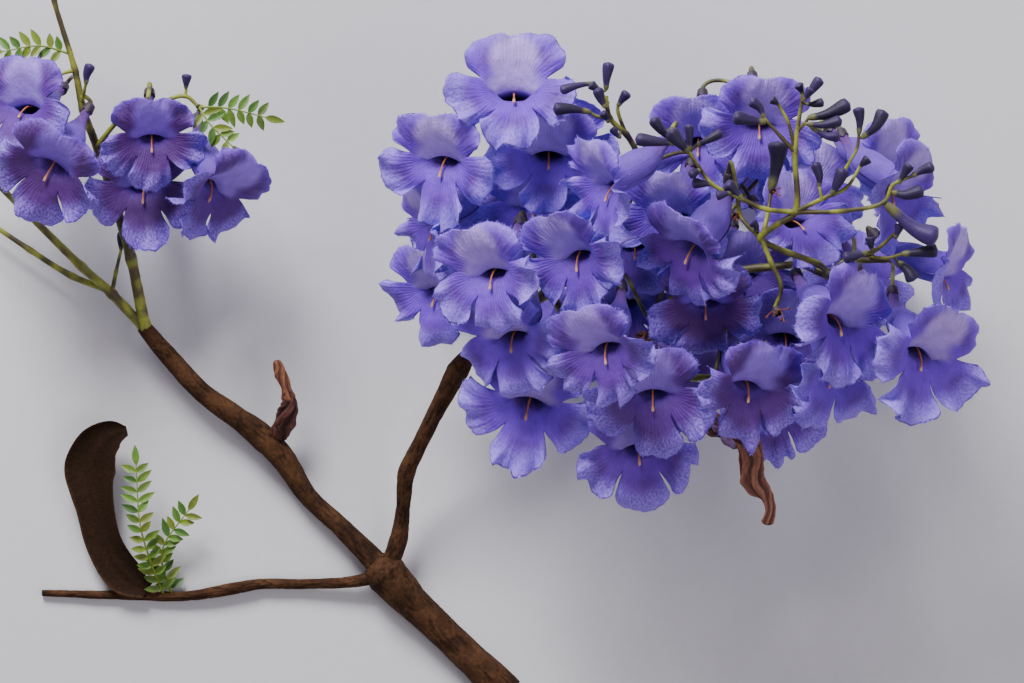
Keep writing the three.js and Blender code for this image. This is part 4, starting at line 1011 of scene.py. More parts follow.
def bloom_tone(random, mouth):
    """A bloom's own shade of violet, which differs at random. Near a heart it gets a painted shade, deeper
    and more purple.
    """
    tone_and_shade = random.uniform(0, 0.4)
    # The random part is the bloom's own tone. Near each heart a painted shade is added to it.
    for across, down, height, reach, share in SHADED_HEARTS:
        away = np.linalg.norm((mouth - place(across, down, height))[:2])
        tone_and_shade += share * math.exp(-((away / reach) ** 2))
    return {
        "petal": mixed(PETAL, PETAL_DEEP, np.array(tone_and_shade)),
        "pale": mixed(PETAL_PALE, PETAL, np.array(tone_and_shade)),
        "patch": mixed(PATCH, PETAL, np.array(0.6 * tone_and_shade)),
    }


def bloom_skin(shape, shapes, bend, tone, inside):
    """One face of the bloom's wall, from the lobes' tips over the rim and down the tube."""
    sides = np.linspace(-1, 1, LOBE_CELLS + 1)
    along = np.linspace(0, 1, LOBE_ROWS + 1) ** LOBE_ROW_POWER
    count = THROAT_ROWS if inside else TUBE_ROWS
    shares = np.linspace(0, 1, count + 1) ** TUBE_ROW_POWER * (THROAT_DEPTH if inside else 1)
    hand = 1 if inside else -1
    wall = 1 - np.abs(sides) ** EDGE_POWER
    end = tube_middle(shares[-1:], bend)[0][0]
    for index, lobe in enumerate(LOBES):
        angles = lobe_angles(index, sides)
        thin = hand * WALL / 2 * (1 - along**EDGE_POWER)
        lift = lobe_relief(shapes[index], sides, along) + thin[:, None] * wall
        petal = lobe_points(index, shapes[index], sides, along, lift, thin)
        tube = tube_points(shares, angles, bend, WALL if inside else 0, inside)
        tube += (petal[0] - tube[0]) * (np.maximum(0, 1 - shares / RIM_BLEND) ** 2)[:, None, None]
        colours = lobe_colours(index, petal, sides, along, inside, tone)
        deep = tube_colours(shares, angles, inside, tone)
        near = eased(shares, 0, 0.08)[:, None] * np.ones_like(angles)
        deep = mixed(colours[0] * np.ones_like(deep), deep, near)
        rows = np.concatenate([petal[:0:-1], tube, np.tile(end, (1, len(sides), 1))])
        tints = np.concatenate([colours[:0:-1], deep, deep[-1:]])
        frost = UPPER_FROST if index in UPPER_LOBES else 1
        frosts = np.zeros(rows.shape[:2])
        frosts[:LOBE_ROWS] = frost * eased(along, 0.2, 0.8)[:0:-1, None]
        down = np.concatenate([along[:0:-1] * lobe["length"], -shares * TUBE_LENGTH, [-TUBE_LENGTH]])
        places = np.stack(np.broadcast_arrays(sides * lobe["width"] / 2, down[:, None]), -1) / MAP_UNIT
        faces = grid_faces(len(rows), len(sides))
        shape.add(rows, faces if inside else faces[:, ::-1], tints, 0, frosts, places)


def staminode(shape, bend):
    """The long stalk with a hairy tip that leans from under the roof onto the throat's floor."""
    spots = np.array(STAMEN_SPOTS)
    spot, _, normal = tube_middle(spots[:, 0], bend)
    curve = Curve(spot + normal * spots[:, 1:])
    shares = np.linspace(0, 1, STAMEN_RINGS)
    knob = STAMEN_KNOB * np.exp(-((shares - 0.93) / 0.08) ** 2)
    rings = rings_along(curve, shares, STAMEN_SIDES, STAMEN_RADIUS - STAMEN_TAPER * shares + knob)
    tint = mixed(STAMEN, STAMEN_TIP, eased(shares, 0.8, 0.97))[:, None] * np.ones((STAMEN_SIDES, 1))
    shape.add(rings, grid_faces(*rings.shape[:2], True), tint, 1)
    shape.close(rings[-1], curve.at([1]), STAMEN_TIP, 1)


def fringe(shape, shapes, random):
    """Fine pale hairs along the edge of every lobe."""
    points = []
    for index, finer in enumerate(shapes):
        sides = np.sort(random.uniform(-1, 1, HAIRS_PER_LOBE))
        outline = np.interp(sides, np.linspace(-1, 1, LOBE_CELLS + 1), finer["outline"])
        own = {**finer, "outline": outline}
        along = np.array([HAIR_INNER, 1])
        inner, edge = lobe_points(index, own, sides, along, lobe_relief(finer, sides, along))
        way = edge - inner
        way = way / np.maximum(np.linalg.norm(way, axis=1), 1e-6)[:, None]
        way = way + random.normal(0, HAIR_SLANT, way.shape)
        across = np.cross(way, random.normal(0, 1, way.shape))
        across = across / np.linalg.norm(across, axis=1)[:, None] * HAIR_WIDTH / 2
        long = HAIR_LENGTH * random.uniform(0.5, 1.15, (len(sides), 1))
        root = edge - way * HAIR_ROOT
        points.append(np.stack([root - across, root + across, edge + way * long], 1))
    points = np.concatenate(points)
    shape.add(points, np.arange(3 * len(points)).reshape(-1, 3), PETAL_PALE, 2)


def dress_bloom(bloom, materials):
    """A bloom's two-sided skin, its long stamen and the hairs at its edge."""
    random = np.random.default_rng(bloom.seed)
    sides = np.linspace(-1, 1, LOBE_CELLS + 1)
    shapes = finer_shapes(bloom.shapes, sides, random)
    tone = bloom_tone(random, bloom.mouth)
    skin = Shape()
    bloom_skin(skin, shapes, bloom.bend, tone, inside=True)
    bloom_skin(skin, shapes, bloom.bend, tone, inside=False)
    whole = skin.welded()
    staminode(whole, bloom.bend)
    fringe(whole, shapes, random)
    whole.points = [points @ bloom.axes + bloom.mouth for points in whole.points]
    whole.piece(f"flower_{bloom.name}", materials, [bloom.node], "petal")


# Stalks, buds and leaves

def tube_shape(shape, curve, shares, radii, sides, colours, material=0):
    """A closed tapering tube along a curve."""
    rings = rings_along(curve, shares, sides, radii)
    shape.add(rings, grid_faces(len(rings), sides, True), colours, material)
    shape.close(rings[0], curve.at([shares[0]]), colours[0, :1], material, flip=True)
    shape.close(rings[-1], curve.at([shares[-1]]), colours[-1, :1], material)


def stalk_colours(points, seed, dark=0.0):
    """Green with brown patches."""
    patches = eased(rough(points, 5, seed), -0.25, 0.45)
    return mixed(mixed(STEM_DARK, STEM, patches), STEM_DARK, dark * np.ones_like(patches))


def grow_stem(shape, run, seed, sides):
    """A green stem with small lumps, and a knot at each point of its run."""
    curve = run_curve(run)
    count = max(8, int(curve.length() / STEM_RING_SPACING))
    shares = np.linspace(0, 1, count)
    radii = diameters(run, shares) / 2
    places = rings_along(curve, shares, sides, radii)
    lumps = 1 + 0.07 * rough(places, 2.2, seed) + 0.05 * rough(places, 0.9, seed)
    knots = 1 + KNOT * np.exp(-(((shares * (len(run) - 1) + 0.5) % 1 - 0.5) / KNOT_WIDTH) ** 2)
    radii = radii[:, None] * lumps * knots[:, None]
    tube_shape(shape, curve, shares, radii, sides, stalk_colours(places, seed))


def nearest_spot(runs, spot):
    """The place of a stem's runs that is nearest to a spot, at the steps of the solids."""
    spots = np.vstack([run_curve(run).at(np.linspace(0, 1, NEAREST_STEPS * len(run) + 1)) for run in runs])
    return spots[np.linalg.norm(spots - spot, axis=1).argmin()]


def grow_bud_stalk(shape, start, foot):
    """The thin stalk from a stem to a bud that stands off it."""
    curve = Curve([start, (start + foot) / 2, foot])
    shares = np.linspace(0, 1, BUD_STALK_RINGS)
    radii = np.interp(shares, [0, 0.5, 1], BUD_STALK_RADII)
    places = rings_along(curve, shares, BUD_STALK_SIDES, radii)
    tube_shape(shape, curve, shares, radii, BUD_STALK_SIDES, stalk_colours(places, 2, 0.4))


def grow_bud(shape, row, runs, random):
    """A closed bud: a small green cup, a slim neck and a rounded tip of five folded lobes."""
    *_, height, width = row
    foot = place(*row[:2], height)
    tip = place(*row[2:4], height + BUD_LIFT)
    start = nearest_spot(runs, foot)
    if np.linalg.norm(start - foot) > BUD_TOUCH:
        grow_bud_stalk(shape, start, foot)
    sag = random.normal(0, BUD_SAG, 3) * np.linalg.norm(tip - foot)
    curve = Curve([foot, (foot + tip) / 2 + sag, tip])
    shares = np.linspace(0, 1, BUD_RINGS)
    radii = (np.interp(shares, *np.transpose(BUD_PROFILE)) * width / 2)[:, None]
    folded = BUD_FOLD * eased(shares, 0.25, 0.95)[:, None]
    radii = radii * (1 + folded * np.cos(len(LOBES) * ring_turns(BUD_SIDES)))
    pale = random.choice(list(BUD_SHADES), p=list(BUD_SHADES.values()))
    tone = mixed(BUD, BUD_PALE, np.full(BUD_RINGS, pale))
    body = mixed(tone, BUD_PALE, 0.4 * eased(shares, 0.8, 1))
    cup = mixed(CALYX, STEM, np.full(BUD_RINGS, 0.35))
    body = mixed(cup, body, eased(shares, BUD_CUP - 0.03, BUD_CUP + 0.04))
    rings = rings_along(curve, shares, BUD_SIDES, radii)
    tint = body[:, None] * (1 + 0.18 * rough(rings, 1.2))[..., None]
    tube_shape(shape, curve, shares, radii, BUD_SIDES, tint, 1)


def grow_calyx(shape, bloom_foot, back):
    """The small cup with five teeth that holds a bloom's tube."""
    axis = Curve([bloom_foot + back * 0.9, bloom_foot, bloom_foot - back * CALYX_LENGTH])
    shares = np.linspace(0, 1, CALYX_RINGS)
    radii = np.interp(shares, [0, 0.25, 0.8, 1], [0.9, 1.6, CALYX_RADIUS, CALYX_RADIUS + 0.1])
    rings = rings_along(axis, shares, CALYX_SIDES, radii)
    rings[-1] -= CALYX_TOOTH * np.cos(len(LOBES) * ring_turns(CALYX_SIDES))[:, None] * back
    shape.add(rings, grid_faces(CALYX_RINGS, CALYX_SIDES, True), CALYX, 1)


def joints_along(name, curve):
    """Places along a stem where a flower's own stalk may leave it."""
    count = math.ceil(curve.length() / JOINT_SPACING)
    steps = [round(JOINT_STEPS * k / (count + JOINT_END)) for k in range(1, count + 1)]
    shares = curve.even(JOINT_STEPS + 1)[steps]
    return [(name, spot, ahead) for spot, ahead in zip(curve.at(shares), curve.ahead(shares))]


def stalk_ways(end, joints):
    """The ways from the joints to a bloom's foot, the shortest and straightest first."""
    detours = [np.zeros(3)] + [hand * DETOUR * np.eye(3)[axis] for axis in range(3) for hand in (1, -1)]
    ways = []
    for joint in joints:
        gap = np.linalg.norm(joint[1] - end)
        for leave, arrive in STALK_ENDS:
            for detour in detours:
                ways.append((gap + DETOUR_COST * np.linalg.norm(detour), gap, leave, arrive, detour, joint))
    return sorted(ways, key=lambda way: way[0])


def bloom_tree():
    """The blooms' solids, for finding how near a stalk passes."""
    corners = []
    faces = []
    for name, *_ in BLOOMS:
        mesh = bpy.data.objects[f"bloom_{name}"].data
        faces += [[corner + len(corners) for corner in face.vertices] for face in mesh.polygons]
        corners += [np.array(vertex.co) / MM - SHIFT for vertex in mesh.vertices]
    return BVHTree.FromPolygons([tuple(corner) for corner in corners], faces)


def clear_way(curve, tree):
    """Whether a stalk along this curve keeps clear of every bloom except at its very end."""
    count = max(8, int(curve.length() / CLEAR_STEP))
    spots = curve.at(np.linspace(0, 1, count))[CLEAR_PART]
    return all(tree.find_nearest(Vector(spot), STALK_CLEARANCE)[0] is None for spot in spots)


def grow_footstalks(stems, ends):
    """Each bloom's own stalk, the bloom nearest to a stem first. Stalks may carry later ones."""
    tree = bloom_tree()
    joints = [joint for name, run in stems for joint in joints_along(name, run_curve(run))]
    waiting = dict(ends)
    grown = []
    while waiting:
        spots = np.array([joint[1] for joint in joints])
        near = {name: np.linalg.norm(spots - end[0], axis=1).min() for name, end in waiting.items()}
        name = min(near, key=near.get)
        foot, back = waiting.pop(name)
        end = foot + back * SEAT_GAP
        chosen = None
        for _, gap, leave, arrive, detour, joint in stalk_ways(end, joints):
            points = [joint[1], joint[1] + joint[2] * leave * gap + detour,
                      end + back * arrive * gap + detour, end]
            curve = Bezier(points)
            chosen = chosen or (joint, curve)
            if clear_way(curve, tree):
                chosen = (joint, curve)
                break
        joint, curve = chosen
        grown.append((joint[0], curve, foot, back))
        joints += joints_along(joint[0], curve)[:-CUP_JOINTS]
    return grown


def draw_footstalk(shape, curve, seed):
    """A bloom's own stalk, darker towards the bloom."""
    shares = np.linspace(0, 1, max(10, int(curve.length())))
    radii = np.interp(shares, STALK_STATIONS, STALK_RADII)
    places = rings_along(curve, shares, STALK_SIDES, radii)
    darker = 0.7 * eased(shares, 0.45, 1)[:, None] * np.ones(STALK_SIDES)
    tint = mixed(stalk_colours(places, seed), CALYX, darker)
    tube_shape(shape, curve, shares, radii, STALK_SIDES, tint)


def leaflet(shape, foot, tip, random):
    """A narrow pointed leaflet, folded a little along its middle."""
    along = tip - foot
    length = np.linalg.norm(along)
    across = np.cross(along / length, UP)
    half = LEAFLET_WIDTH / 2 * np.array(LEAFLET_SHAPE)[:, None]
    rows = np.linspace(0, 1, len(half))[:, None]
    sides = np.array(LEAFLET_SIDES)
    droop = -0.5 * rows**2 * random.uniform(0.2, 1.4)
    points = (
        foot + along * rows[..., None]
        + across * (half * sides)[..., None]
        + UP * (np.abs(sides) * half * LEAFLET_FOLD + droop)[..., None]
    )
    darker = random.uniform(-0.2, 0.8) + 0.3 * (1 - np.abs(sides)) * np.ones_like(half)
    yellow = np.full(darker.shape, random.choice([0, 0.15, 0.4]))
    tint = mixed(mixed(LEAF, LEAF_DARK, darker), LEAF_YELLOW, yellow)
    faces = grid_faces(len(rows), len(sides))
    shape.add(points, faces, tint, 1)
    # The underside is the top's tint painted darker: a painted shade.
    shape.add(points - UP * LEAFLET_THICKNESS, faces[:, ::-1], tint * 0.8, 1)


def grow_feather(shape, run, random):
    """A feathery leaf: a thin midrib with pairs of leaflets and one at its end."""
    curve = Curve([place(*spot) for spot in run])
    shares = np.linspace(0, 1, MIDRIB_RINGS)
    radii = MIDRIB_RADIUS - MIDRIB_TAPER * shares
    tint = mixed(STEM, LEAF, np.full((MIDRIB_RINGS, MIDRIB_SIDES), 0.5))
    tube_shape(shape, curve, shares, radii, MIDRIB_SIDES, tint)
    pairs = int(curve.length() / LEAFLET_SPACING)
    spread = curve.even(pairs + 2)[1:-1]
    for spot, ahead in zip(curve.at(spread), curve.ahead(spread)):
        out = np.cross(ahead, UP)
        out = out / np.linalg.norm(out)
        for hand in (-1, 1):
            way = hand * out + random.uniform(0.4, 0.8) * ahead + random.normal(0, LEAFLET_SPREAD, 3)
            way = way / np.linalg.norm(way)
            leaflet(shape, spot, spot + way * LEAFLET_LENGTH * random.uniform(0.72, 1), random)
    ahead = curve.ahead([1])[0]
    foot = curve.at([1])[0] - ahead
    leaflet(shape, foot, foot + ahead * LEAFLET_LENGTH, random)


# Wood and dry pieces

def bark_relief(points, radii, length):
    """Lumps, lengthwise cracks and small pores of young bark, in millimetres."""
    turns = ring_turns(points.shape[1])
    down = np.linspace(0, length, len(points))[:, None] * np.ones(len(turns))
    grain = np.stack([down / 7, radii[:, None] * np.cos(turns), radii[:, None] * np.sin(turns)], -1)
    lumps = 0.06 * radii[:, None] * rough(points, 7) + 0.09 * rough(points, 2.6)
    cracks = -BARK_CRACK * np.exp(-(rough(grain, 1.1, 7) / 0.14) ** 2)
    return lumps + cracks + 0.04 * rough(points, 0.8, 3)


def bark_colours(points, relief):
    """Weathered patches of two browns, and darker cracks."""
    weathered = eased(rough(points, 6, 11) + 0.35 * rough(points, 1.4, 5), -0.6, 0.7)
    colour = mixed(BARK_DARK, BARK_LIGHT, 0.3 + 0.6 * weathered)
    return mixed(colour, BARK_DARK * 0.6, eased(-relief, 0.05, 0.25) * 0.8)


def cut_face(shape, ring, centre):
    """The sawn end: pale wood with rings round a darker pith."""
    scale = np.linspace(1, 0, CUT_RINGS + 1)[:-1]
    rings = centre + (ring - centre) * scale[:, None, None]
    growth = 0.5 + 0.5 * np.cos(scale * 20)
    tint = mixed(mixed(FRESH_WOOD, PITH, 0.35 * growth), PITH, eased(1 - scale, 0.8, 1))
    tint[0] = BARK_DARK
    tints = tint[:, None] * np.ones((len(ring), 1))
    shape.add(rings, grid_faces(CUT_RINGS, len(ring), True)[:, ::-1], tints)
    shape.close(rings[-1], centre, PITH, flip=True)


def grow_limb(name):
    """A woody limb with bark. Its foot reaches into the limb that carries it."""
    run = WOOD[name]
    curve = run_curve(run)
    count = int(curve.length() / BARK_RING_SPACING)
    sides = MAIN_SIDES if name == "main_branch" else LIMB_SIDES
    shares = np.linspace(0, 1, count)
    radii = diameters(run, shares) / 2
    plain = rings_along(curve, shares, sides, radii)
    relief = bark_relief(plain, radii, curve.length())
    rings = rings_along(curve, shares, sides, radii[:, None] + relief)
    shape = Shape()
    shape.add(rings, grid_faces(count, sides, True), bark_colours(plain, relief))
    cut_face(shape, rings[0], curve.at([0])[0])
    shape.close(rings[-1], curve.at([1]), BARK_DARK)
    return shape


def flat_rings(run, flatness, sides, count):
    """Flattened rings along a run, and the curve, shares and half widths that they follow."""
    curve = run_curve(run)
    shares = np.linspace(0, 1, count)
    wide = diameters(run, shares) / 2
    even = np.ones(FLAT_SMOOTHING) / FLAT_SMOOTHING
    wide = np.convolve(np.pad(wide, FLAT_SMOOTHING // 2, "edge"), even, "valid")
    return curve, shares, wide, rings_along(curve, shares, sides, wide * flatness, wide)


def grow_pod():
    """One dry woody shell of the pod: a shallow dish with a thin rim, dark on its outside."""
    curve, shares, wide, plain = flat_rings(POD_RUN, POD_FLATNESS, POD_SIDES, POD_ROWS)
    centres, ups, others = frames_along(curve, shares)
    across = np.sin(np.linspace(-0.5, 0.5, POD_COLUMNS) * math.pi)
    deep = POD_FLATNESS * wide[:, None]
    warp = 1 + POD_WARP * rough(plain.mean(1), 9)[:, None]
    reach = wide[:, None] * warp * across
    hollow = np.sqrt(np.maximum(0, 1 - across**2))
    outside = POD_RIM_UP - (1 + POD_RIM_UP) * hollow
    ridge = POD_RIDGE * np.exp(-(across / POD_RIDGE_WIDTH) ** 2)
    inside = POD_RIM_UP - (POD_DISH + POD_RIM_UP) * hollow**1.4 + ridge
    shape = Shape()
    for height, hand in ((outside, -1), (inside, 1)):
        rows = centres[:, None] + others[:, None] * reach[..., None]
        rows += ups[:, None] * (deep * height)[..., None]
        rows += ups[:, None] * (POD_LUMPS * rough(rows, 3.5))[..., None]
        faces = grid_faces(len(shares), len(across))
        shape.add(rows, faces if hand > 0 else faces[:, ::-1], pod_colours(rows, across, hand))
    for row, hand in ((0, 1), (-1, -1)):
        lines = [shape.points[side].reshape(len(shares), -1, 3)[row] for side in (0, 1)]
        faces = grid_faces(2, len(across))
        shape.add(np.stack(lines), faces if hand > 0 else faces[:, ::-1], POD)
    return shape.welded()


def pod_colours(rows, across, hand):
    """A brown face with a darker stripe and a pale rim, and a nearly black outside."""
    patches = eased(rough(rows, 5, 4), -0.3, 0.5)
    rim = eased(np.abs(across), 0.86, 0.99) * np.ones(rows.shape[:2])
    if hand < 0:
        return mixed(mixed(POD, POD_FACE, 0.3 * patches), POD_RIM, 0.4 * rim)
    stripe = np.exp(-((across + 0.3) / 0.3) ** 2) * np.ones(rows.shape[:2])
    face = mixed(mixed(POD_FACE, POD, 0.35 * patches), POD, 0.6 * stripe)
    return mixed(face, POD_RIM, 0.8 * rim)


def rounded_ends(shares, length, wide):
    """How much narrower a run is near its ends, so that they close in a dome."""
    near = np.minimum(shares, 1 - shares) * length / np.maximum(wide, 0.1)
    return np.sqrt(np.clip(1 - (1 - np.minimum(near, 1)) ** 2, 0.04, 1))


def crumpled(shape, run, flatness, wrinkles, depth, seed, light, dark):
    """A dried and shrunken piece with deep lengthwise wrinkles, painted darker in their troughs and lighter
    on their crests.
    """
    curve, shares, wide, plain = flat_rings(run, flatness, CRUMPLE_SIDES, CRUMPLE_RINGS)
    wide = wide * rounded_ends(shares, curve.length(), wide)
    twist = ring_turns(CRUMPLE_SIDES) + 0.9 * np.sin(shares * 5)[:, None]
    folds = np.sin(twist * wrinkles + 2.2 * rough(plain, 6, seed)) * depth
    folds += 0.5 * depth * np.sin(twist * (2 * wrinkles + 1) + 3 * rough(plain, 3, seed))
    uneven = 1 + folds + 0.14 * rough(plain, 3.5, seed) - 0.05
    thick = wide[:, None] * flatness * uneven
    rings = rings_along(curve, shares, CRUMPLE_SIDES, thick, wide[:, None] * uneven)
    # Painted shade in the wrinkles' troughs and painted light on their crests.
    tint = mixed(dark, light, eased(folds, -depth, 1.3 * depth))
    shape.add(rings, grid_faces(CRUMPLE_RINGS, CRUMPLE_SIDES, True), tint)
    for end, flip in ((0, True), (-1, False)):
        shape.close(rings[end], rings[end].mean(0), np.vstack([tint[end], tint[end, :1]]), flip=flip)


def withered_scrap(shape, spot, way, random):
    """A thin twisted scrap of a withered lobe."""
    way = way / np.linalg.norm(way)
    across = np.cross(way, random.normal(0, 1, 3))
    across = across / np.linalg.norm(across)
    face = np.cross(way, across)
    rows = np.linspace(0, 1, SCRAP_ROWS)[:, None]
    sides = np.linspace(-1, 1, SCRAP_COLUMNS)
    half = SCRAP_LENGTH * 0.32 * np.sin(math.pi * np.clip(rows, 0.06, 0.96)) ** 0.6
    wave = SCRAP_LENGTH * 0.1 * np.sin(sides * random.uniform(3, 6) + rows * 5 + random.uniform(0, 6))
    out = SCRAP_LENGTH * (rows + 0.12 * np.sin(5 * sides))
    lift = wave + 0.25 * SCRAP_LENGTH * rows**2
    points = spot + way * out[..., None] + across * (half * sides)[..., None] + face * lift[..., None]
    tint = mixed(WITHERED_PETAL, DRY, eased(rough(points, 2.0, random.uniform(0, 50)), -0.3, 0.4))
    faces = grid_faces(SCRAP_ROWS, SCRAP_COLUMNS)
    shape.add(points, faces, tint)
    shape.add(points - face * SCRAP_THICKNESS, faces[:, ::-1], tint * 0.8)


def grow_dried_flower():
    """The withered flower: a dark crumple, scraps of its lobes, and a wrinkled hanging tube."""
    shape = Shape()
    crumpled(shape, DRIED_RUN[:4], DRIED_FLATNESS, 4, 0.2, 6, DRY, DRY_DARK)
    crumpled(shape, DRIED_RUN[2:], DRIED_FLATNESS, 5, 0.16, 2, DRY_LIGHT, DRY * 0.6)
    random = np.random.default_rng(SCRAP_SEED)
    for across, down, *way in DRIED_SCRAPS:
        withered_scrap(shape, place(across, down, SCRAP_HEIGHT), np.array([*way, SCRAP_RISE]), random)
    return shape


def grow_withered_bud(stems):
    """The round brown bud that withered in a gap of the head, on a stalk of its own."""
    shape = Shape()
    for _, curve, _, _ in grow_footstalks(stems, {"withered_bud": run_start(WITHERED_BUD_RUN)}):
        draw_footstalk(shape, curve, 3)
    crumpled(shape, WITHERED_BUD_RUN, STUB_FLATNESS, 5, 0.14, 3, DRY_LIGHT, DRY_DARK)
    return shape


def grow_stub():
    """The dried stub: a dark lump, a thin neck and a lighter knob."""
    shape = Shape()
    crumpled(shape, STUB_RUN[:4], STUB_FLATNESS, 4, 0.16, 9, DRY, DRY_DARK)
    crumpled(shape, STUB_RUN[2:], STUB_FLATNESS, 4, 0.14, 3, STUB_KNOB, DRY)
    return shape


def grow_tuft(shape, spot, way, size, random):
    """What is left of a fallen flower: a small dark cup with a tuft of dry stamens."""
    way = way / np.linalg.norm(way)
    axis = Curve([spot - way * 0.6, spot + way * 0.4 * size, spot + way * size])
    shares = np.linspace(0, 1, TUFT_RINGS)
    radii = np.interp(shares, [0, 0.4, 1], [0.5, 0.62 * size, 0.5 * size])
    rings = rings_along(axis, shares, TUFT_SIDES, radii)
    faces = grid_faces(TUFT_RINGS, TUFT_SIDES, True)
    shape.add(rings, faces, CALYX, 1)
    # The inside of the cup is the calyx colour painted darker: a painted shade.
    shape.add(rings[::-1] * 0.999 + 0.001 * spot, faces, CALYX * 0.6, 1)
    for _ in range(TUFT_STAMENS):
        out = way + random.normal(0, 0.45, 3)
        end = spot + out * size * random.uniform(0.9, 1.5)
        middle = (spot + end) / 2 + random.normal(0, 0.25 * size, 3)
        curve = Curve([spot + way * 0.3 * size, middle, end])
        shares = np.linspace(0, 1, ANTHER_RINGS)
        radii = 0.17 + 0.2 * eased(shares, 0.75, 0.95)
        tint = ANTHER * random.uniform(0.5, 1.1) * np.ones((ANTHER_RINGS, ANTHER_SIDES, 3))
        tube_shape(shape, curve, shares, radii, ANTHER_SIDES, tint, 1)


# Materials

class Skin:
    """A material, and the parts that its colour and bumps are put together from."""

    def __init__(self, name, roughness, **constants):
        self.material = bpy.data.materials.new(name)
        self.material.use_nodes = True
        self.nodes = self.material.node_tree.nodes
        self.links = self.material.node_tree.links
        self.shader = self.nodes["Principled BSDF"]
        self.shader.inputs["Roughness"].default_value = roughness
        for socket, value in constants.items():
            self.shader.inputs[socket.replace("_", " ")].default_value = value

    def part(self, kind, inputs, **settings):
        """A part of this kind. Its inputs get plain values, or are linked to other parts' results."""
        part = self.nodes.new(f"ShaderNode{kind}")
        for setting, value in settings.items():
            setattr(part, setting, value)
        for socket, value in inputs.items():
            if isinstance(value, bpy.types.NodeSocket):
                self.links.new(value, part.inputs[socket])
            else:
                part.inputs[socket].default_value = value
        return part.outputs

    def tint(self):
        """The points' own colours, and how frosty they are."""
        tint = self.part("Attribute", {}, attribute_name="tint")
        return tint["Color"], tint["Alpha"]

    def bumps(self, size, detail=4.0):
        """Noise with bumps of this size in millimetres, fixed to the object."""
        where = self.part("TexCoord", {})["Object"]
        inputs = {"Vector": where, "Scale": 1 / (size * MM), "Detail": detail, "Roughness": BUMP_ROUGHNESS}
        return self.part("TexNoise", inputs)["Fac"]

    def spread(self, value, low, high, to_low=0.0, to_high=1.0):
        """The value with low moved to to_low, and high to to_high."""
        inputs = {"Value": value, "From Min": low, "From Max": high, "To Min": to_low, "To Max": to_high}
        return self.part("MapRange", inputs)["Result"]

    def times(self, one, two):
        return self.part("Math", {0: one, 1: two}, operation="MULTIPLY")["Value"]

    def plus(self, one, two):
        return self.part("Math", {0: one, 1: two}, operation="ADD")["Value"]

    def mix(self, share, one, two, blend="MIX"):
        inputs = {MIX_SHARE: share, MIX_ONE: one, MIX_TWO: two}
        return self.part("Mix", inputs, data_type="RGBA", blend_type=blend)[MIX_RESULT]

    def finish(self, colour, height=None, depth=0.0):
        """Gives the shader its colour, and bumps of this depth in millimetres."""
        self.links.new(colour, self.shader.inputs["Base Color"])
        if height is not None:
            bump = self.part("Bump", {"Height": height, "Distance": depth * MM, "Strength": 1.0})
            self.links.new(bump["Normal"], self.shader.inputs["Normal"])
        return self.material


def petal_material():
    """Soft petals: lengthwise veins, a mottled shade, and frosty hairs on the lower lobes."""
    skin = Skin("petal", 0.62, Sheen_Weight=0.35, Sheen_Roughness=0.45)
    skin.shader.inputs["Sheen Tint"].default_value = (*PETAL_PALE, 1)
    colour, frost = skin.tint()
    places = skin.part("UVMap", {}, uv_map="along")["UV"]
    inputs = {"Vector": places, "Scale": 2.6, "Distortion": 2.4, "Detail": 2.0, "Detail Scale": 1.4}
    veins = skin.part("TexWave", inputs, wave_type="BANDS", bands_direction="X")["Fac"]
    streaks = skin.part("Mapping", {"Vector": places, "Scale": (1.0, 0.4, 1.0)})["Vector"]
    grain = skin.part("TexNoise", {"Vector": streaks, "Scale": 24.0, "Detail": 3.0})["Fac"]
    mottle = skin.bumps(3.2)
    colour = skin.mix(skin.times(skin.spread(veins, 0.3, 0.0), 0.1), colour, (*PETAL_DEEP, 1))
    colour = skin.mix(1.0, colour, skin.spread(mottle, 0.3, 0.7, 0.86, 1.12), "MULTIPLY")
    specks = skin.times(skin.times(skin.spread(grain, 0.36, 0.66), frost), 0.75)
    colour = skin.mix(specks, colour, (*FROST, 1))
    height = skin.plus(skin.plus(skin.times(veins, 0.16), mottle), skin.times(grain, 0.35))
    return skin.finish(colour, height, 0.45)


def plain_material(name, roughness, size, depth, variation=0.2, **constants):
    """The points' tint, mottled, with bumps of one size."""
    skin = Skin(name, roughness, **constants)
    mottle = skin.bumps(size)
    fine = skin.bumps(size / 5, 3.0)
    shade = skin.spread(mottle, 0.3, 0.7, 1 - variation, 1 + variation)
    colour = skin.mix(1.0, skin.tint()[0], shade, "MULTIPLY")
    dull = skin.spread(fine, 0.3, 0.7, roughness - 0.12, roughness + 0.12)
    skin.links.new(dull, skin.shader.inputs["Roughness"])
    return skin.finish(colour, skin.plus(mottle, skin.times(fine, 0.4)), depth)


def floor_material():
    skin = Skin("floor", 0.85)
    shade = skin.spread(skin.bumps(4.0), 0.3, 0.7, 0.97, 1.0)
    return skin.finish(skin.mix(1.0, (*FLOOR, 1), shade, "MULTIPLY"))


# The pieces of the branch

petal = petal_material()
stamen = plain_material("stamen", 0.6, 0.8, 0.1)
hairs = plain_material("petal_hair", 0.7, 2.0, 0.02, Sheen_Weight=0.3)
stalk = plain_material("stalk_skin", 0.5, 1.2, 0.12)
bud_skin = plain_material("bud_skin", 0.58, 0.9, 0.1, Sheen_Weight=0.08)
bark = plain_material("bark", 0.82, 1.3, 0.3, 0.3, Specular_IOR_Level=0.15)
pod_skin = plain_material("pod_skin", 0.78, 1.1, 0.25, 0.3, Specular_IOR_Level=0.15)
dry_skin = plain_material("dry_skin", 0.8, 0.9, 0.2, 0.25)
leaf_skin = plain_material("leaf_skin", 0.5, 1.5, 0.08)


